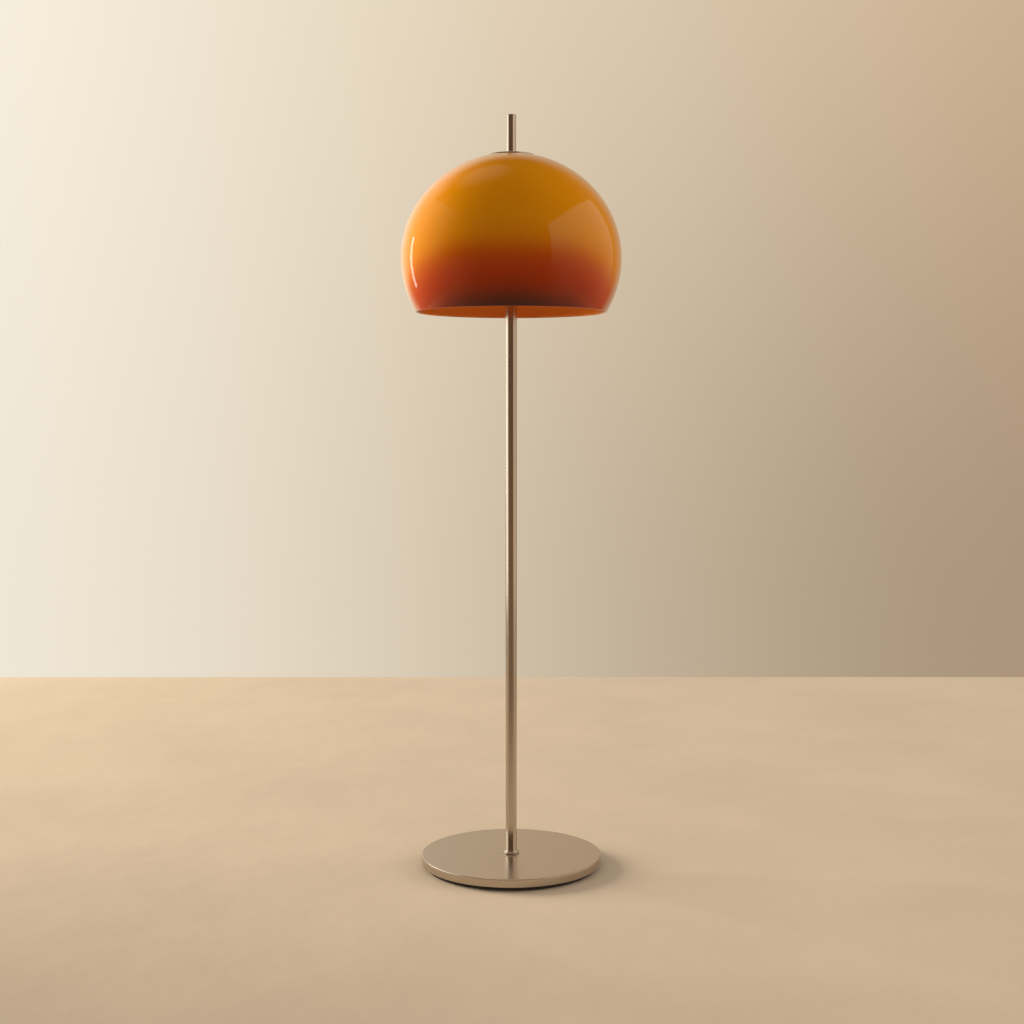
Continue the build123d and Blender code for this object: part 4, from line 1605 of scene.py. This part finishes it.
DARK: Colour = (0.15, 0.088, 0.052)
# painted light on the camera's wall: brightest behind to the left
PAINTED_WALL_LIGHT_STOPS = (
    (0.00, (0.66, 0.56, 0.43)), (0.35, (0.62, 0.51, 0.38)), (0.45, (0.60, 0.44, 0.29)),
    (0.50, (0.73, 0.61, 0.45)), (0.55, (0.90, 0.83, 0.70)), (0.65, (0.84, 0.74, 0.60)),
    (1.00, (0.66, 0.56, 0.43)))
ROOM_STOPS = (
    (0.000, DARK), (0.300, DARK), (0.345, (0.20, 0.14, 0.09)), (0.400, (0.32, 0.22, 0.14)),
    (0.450, (0.50, 0.36, 0.23)), (0.500, (0.64, 0.51, 0.36)), (0.550, (0.87, 0.80, 0.69)),
    (0.640, (0.90, 0.85, 0.76)), (0.655, (0.36, 0.30, 0.22)), (0.770, (0.32, 0.26, 0.19)),
    (0.800, DARK), (1.000, DARK))


@dataclass
class Studio:
    """Floor, surroundings, lights and camera."""
    floor_half: float = 2.226
    clearance: float = 0.015
    lens: float = 54.345
    tilt: float = 86.305
    camera_at: tuple[float, float, float] = (0.0016, -3.0839, 0.9162)
    ground: Colour = srgb(211, 189, 162)
    horizon: Colour = (0.26, 0.165, 0.10)
    aside: Colour = (0.50, 0.38, 0.26)
    ceiling: Colour = (0.05, 0.035, 0.025)
    fill: Colour = (0.47, 0.45, 0.42)
    haze: Colour = (0.62, 0.50, 0.42)
    haze_towards: tuple[float, float, float] = (-0.27, 0.30, 0.915)
    windows: tuple[Window, ...] = (
        Window(-1.0, (-0.7, 0.7), (0.90, 0.80, 0.62)),
        Window(1.0, (-1.16, -1.10), (0.84, 0.75, 0.64)))
    cards: tuple[Card, ...] = (
        Card(
            "key", (-8.0, 3.6, 2.7), (0, 0, 0.9), (4.6, 4.6), 21.0, (1.0, 0.96, 0.88), True, False),
        Card("fill", (8.0, 0.9, 3.4), (0, 0, 0.9), (4.6, 4.6), 3.7, diffuse=True, glossy=False),
        Card("bounce", (0, 0, 0.62), (0, 0, 2.0), (0.5, 0.5), 2.1, (1.0, 0.90, 0.76), True, False),
        Card("strip", (-2.4, 1.5, 1.27), (0, 0, 1.2), (0.22, 1.35), 4.2),
        Card(
            "left_card", (-2.6, 0.2, 1.25), (0, 0, 1.25), (2.9, 2.1), 1.22, (1.0, 0.97, 0.93),
            receivers="plated_stand"),
        Card(
            "right_card", (2.6, -0.5, 1.25), (0, 0, 1.25), (3.2, 2.1), 0.28, (1.0, 0.66, 0.36),
            receivers="plated_stand"),
        Card(
            "top_card", (0, -0.4, 2.9), (0, 0, 0), (3.6, 3.6), 0.8, (1.0, 0.86, 0.70),
            receivers="plated"))

    def floor_colour(self, graph: Graph, place: Socket, path: bpy.types.NodeOutputs) -> Socket:
        """Floor colour with painted shade: darker towards the front left, and the far room's colour
        in reflections.

        Args:
            graph: The floor's graph.
            place: Object coordinates.
            path: Outputs of the Light Path node.

        Returns:
            The colour.
        """
        cloud = graph.span(graph.noise(place, 2.2, 6.0, 0.6), 0.3, 0.7)
        colour = graph.mix(cloud, scaled(self.ground, 0.93), self.ground)
        x, y, _ = graph.parts(place)
        # painted shade: the floor darkens towards the front left
        painted_shade_reach = graph.math("SUBTRACT", graph.times(x, -0.5), y)
        colour = graph.dimmed(colour, graph.span(painted_shade_reach, 0.1, 1.7, 1.0, 0.74))
        reach = graph.measured("LENGTH", place)
        aside = graph.math("DIVIDE", graph.math("ABSOLUTE", x), reach)
        # painted shade in reflections: far from the lamp and ahead, the floor fades to the darker
        # horizon colour
        far = graph.times(
            graph.span(reach, 0.6, self.floor_half, 0.12, 0.9),
            graph.span(aside, 0.55, 0.95, 1.0, 0.12), path["Is Glossy Ray"])
        return graph.mix(far, colour, self.horizon)

    def floor(self) -> None:
        """Pale floor with painted shade; it keeps the lamp's shadow and isn't seen from below."""
        mesh = bmesh.new()
        bmesh.ops.create_grid(mesh, x_segments=1, y_segments=1, size=self.floor_half)
        data = meshed("floor", mesh)
        material = bpy.data.materials.new("pale_floor")
        material.use_nodes = True
        graph, nodes = Graph(material.node_tree), material.node_tree.nodes
        shader, place = nodes["Principled BSDF"], graph.place()
        path = graph.node("ShaderNodeLightPath").outputs
        graph.fill(shader, {
            "Base Color": self.floor_colour(graph, place, path), "Roughness": 0.8,
            "Specular IOR Level": 0.2,
            "Normal": graph.bump(graph.noise(place, 9.0, 8.0, 0.6), 0.002)})
        close = graph.math("LESS_THAN", path["Ray Length"], self.clearance)
        under = graph.times(close, graph.math("SUBTRACT", 1.0, path["Is Camera Ray"]))
        back = graph.node("ShaderNodeNewGeometry").outputs["Backfacing"]
        clear = graph.node("ShaderNodeBsdfTransparent").outputs[0]
        blend = graph.node(
            "ShaderNodeMixShader", graph.math("MAXIMUM", back, under), shader.outputs[0], clear)
        graph.fill(nodes["Material Output"], {"Surface": blend.outputs[0]})
        data.materials.append(material)
        floor = shown("floor", data)

    def room(self, graph: Graph, way: Socket, turn: Socket, around: Socket, rise: Socket) -> Socket:
        """The room that reflections see: dark behind the camera, two windows, a hazy ceiling.

        Args:
            graph: The world's graph.
            way: Direction of the ray.
            turn: Its turn to the left of the view, in radians.
            around: The same as a share of a full turn.
            rise: Its rise in degrees.

        Returns:
            The colour.
        """
        x, y, z = graph.parts(way)
        room = graph.mix(
            graph.span(rise, 34.0, 54.0), graph.ramp(around, ROOM_STOPS), self.ceiling)
        sideways = graph.math("ABSOLUTE", graph.math("SINE", turn))
        ground = graph.mix(graph.span(sideways, 0.55, 0.95), self.horizon, self.aside)
        room = graph.mix(graph.span(rise, 2.0, -8.0, 0.0, 0.9), room, ground)
        across = graph.math("ABSOLUTE", x)
        height, depth = graph.math("DIVIDE", z, across), graph.math("DIVIDE", y, across)
        for window in self.windows:
            opening = graph.times(
                graph.span(height, *window.top), graph.span(depth, *window.far),
                graph.span(height, *window.fade), graph.span(x, 0.0, 0.02 * window.side),
                graph.span(depth, *window.near))
            room = graph.mix(opening, room, window.colour)
        haze = graph.measured("DOT_PRODUCT", way, self.haze_towards)
        return graph.mix(graph.span(haze, 0.945, 1.0, 0.0, 0.9), room, self.haze)

    def surroundings(self) -> None:
        """Pale wall with painted light for the camera, a soft room for reflections, and an even
        fill light.
        """
        world = bpy.data.worlds.new("studio")
        bpy.context.scene.world = world
        world.use_nodes = True
        graph = Graph(world.node_tree)
        way = graph.node("ShaderNodeTexCoord").outputs["Generated"]
        x, y, z = graph.parts(way)
        turn = graph.math("ARCTAN2", graph.times(x, -1.0), y)
        left = graph.times(turn, degrees(1))
        rise = graph.times(graph.math("ARCSINE", z), degrees(1))
        around = graph.math("ADD", graph.times(left, 1 / 360), 0.5)
        # painted light on the wall: darker to the right and towards the floor
        low = graph.span(left, -16.0, 12.0, 0.68, 0.96)
        painted_wall_light = graph.span(rise, -8.0, 22.0, low, 1.05)
        backdrop = graph.dimmed(graph.ramp(around, PAINTED_WALL_LIGHT_STOPS), painted_wall_light)
        path = graph.node("ShaderNodeLightPath").outputs
        seen = graph.math("MAXIMUM", path["Is Glossy Ray"], path["Is Transmission Ray"])
        light = graph.mix(seen, self.fill, self.room(graph, way, turn, around, rise))
        sky = world.node_tree.nodes["Background"]
        graph.fill(sky, {"Color": graph.mix(path["Is Camera Ray"], light, backdrop)})

    def light(self, plated: dict[str, bpy.types.Collection]) -> None:
        """Adds the lights and the cards.

        Args:
            plated: The plated pieces by group, which some cards are for alone.
        """
        for card in self.cards:
            light = bpy.data.lights.new(card.name, "AREA")
            light.shape, light.size, light.size_y = "RECTANGLE", *card.size
            light.energy = card.level * pi * card.size[0] * card.size[1]
            light.color = card.colour
            thing = shown(card.name, light)
            thing.location = card.at
            beam = Vector(card.towards) - Vector(card.at)
            thing.rotation_euler = beam.to_track_quat("-Z", "Y").to_euler()
            thing.visible_camera = False
            thing.visible_diffuse, thing.visible_glossy = card.diffuse, card.glossy
            thing.visible_transmission = card.glossy
            if card.receivers:
                thing.light_linking.receiver_collection = plated[card.receivers]

    def camera(self) -> None:
        """Camera of the photograph's view."""
        data = bpy.data.cameras.new("view")
        data.lens, data.sensor_width = self.lens, 36.0
        camera = shown("view", data)
        camera.location = self.camera_at
        camera.rotation_euler = (radians(self.tilt), 0, 0)
        bpy.context.scene.camera = camera

    def build(self, plated: dict[str, bpy.types.Collection]) -> None:
        """Sets up the studio.

        Args:
            plated: The plated pieces by group.
        """
        bpy.context.scene.view_settings.view_transform = "Standard"
        self.camera()
        self.floor()
        self.surroundings()
        self.light(plated)


def main() -> None:
    """Builds the studio and every sub-assembly in order."""
    logging.basicConfig(level=logging.INFO, format="%(name)s %(message)s")
    plated = {name: bpy.data.collections.new(name) for name in ("plated", "plated_stand")}
    Studio().build(plated)
    palette = Palette()
    for part in (Base, Stem, LampCluster, HeightCollar, LockScrew, Shade):
        LOG.info("building %s", part.__name__)
        part(palette, plated).build()


if __name__ == "__main__":
    main()
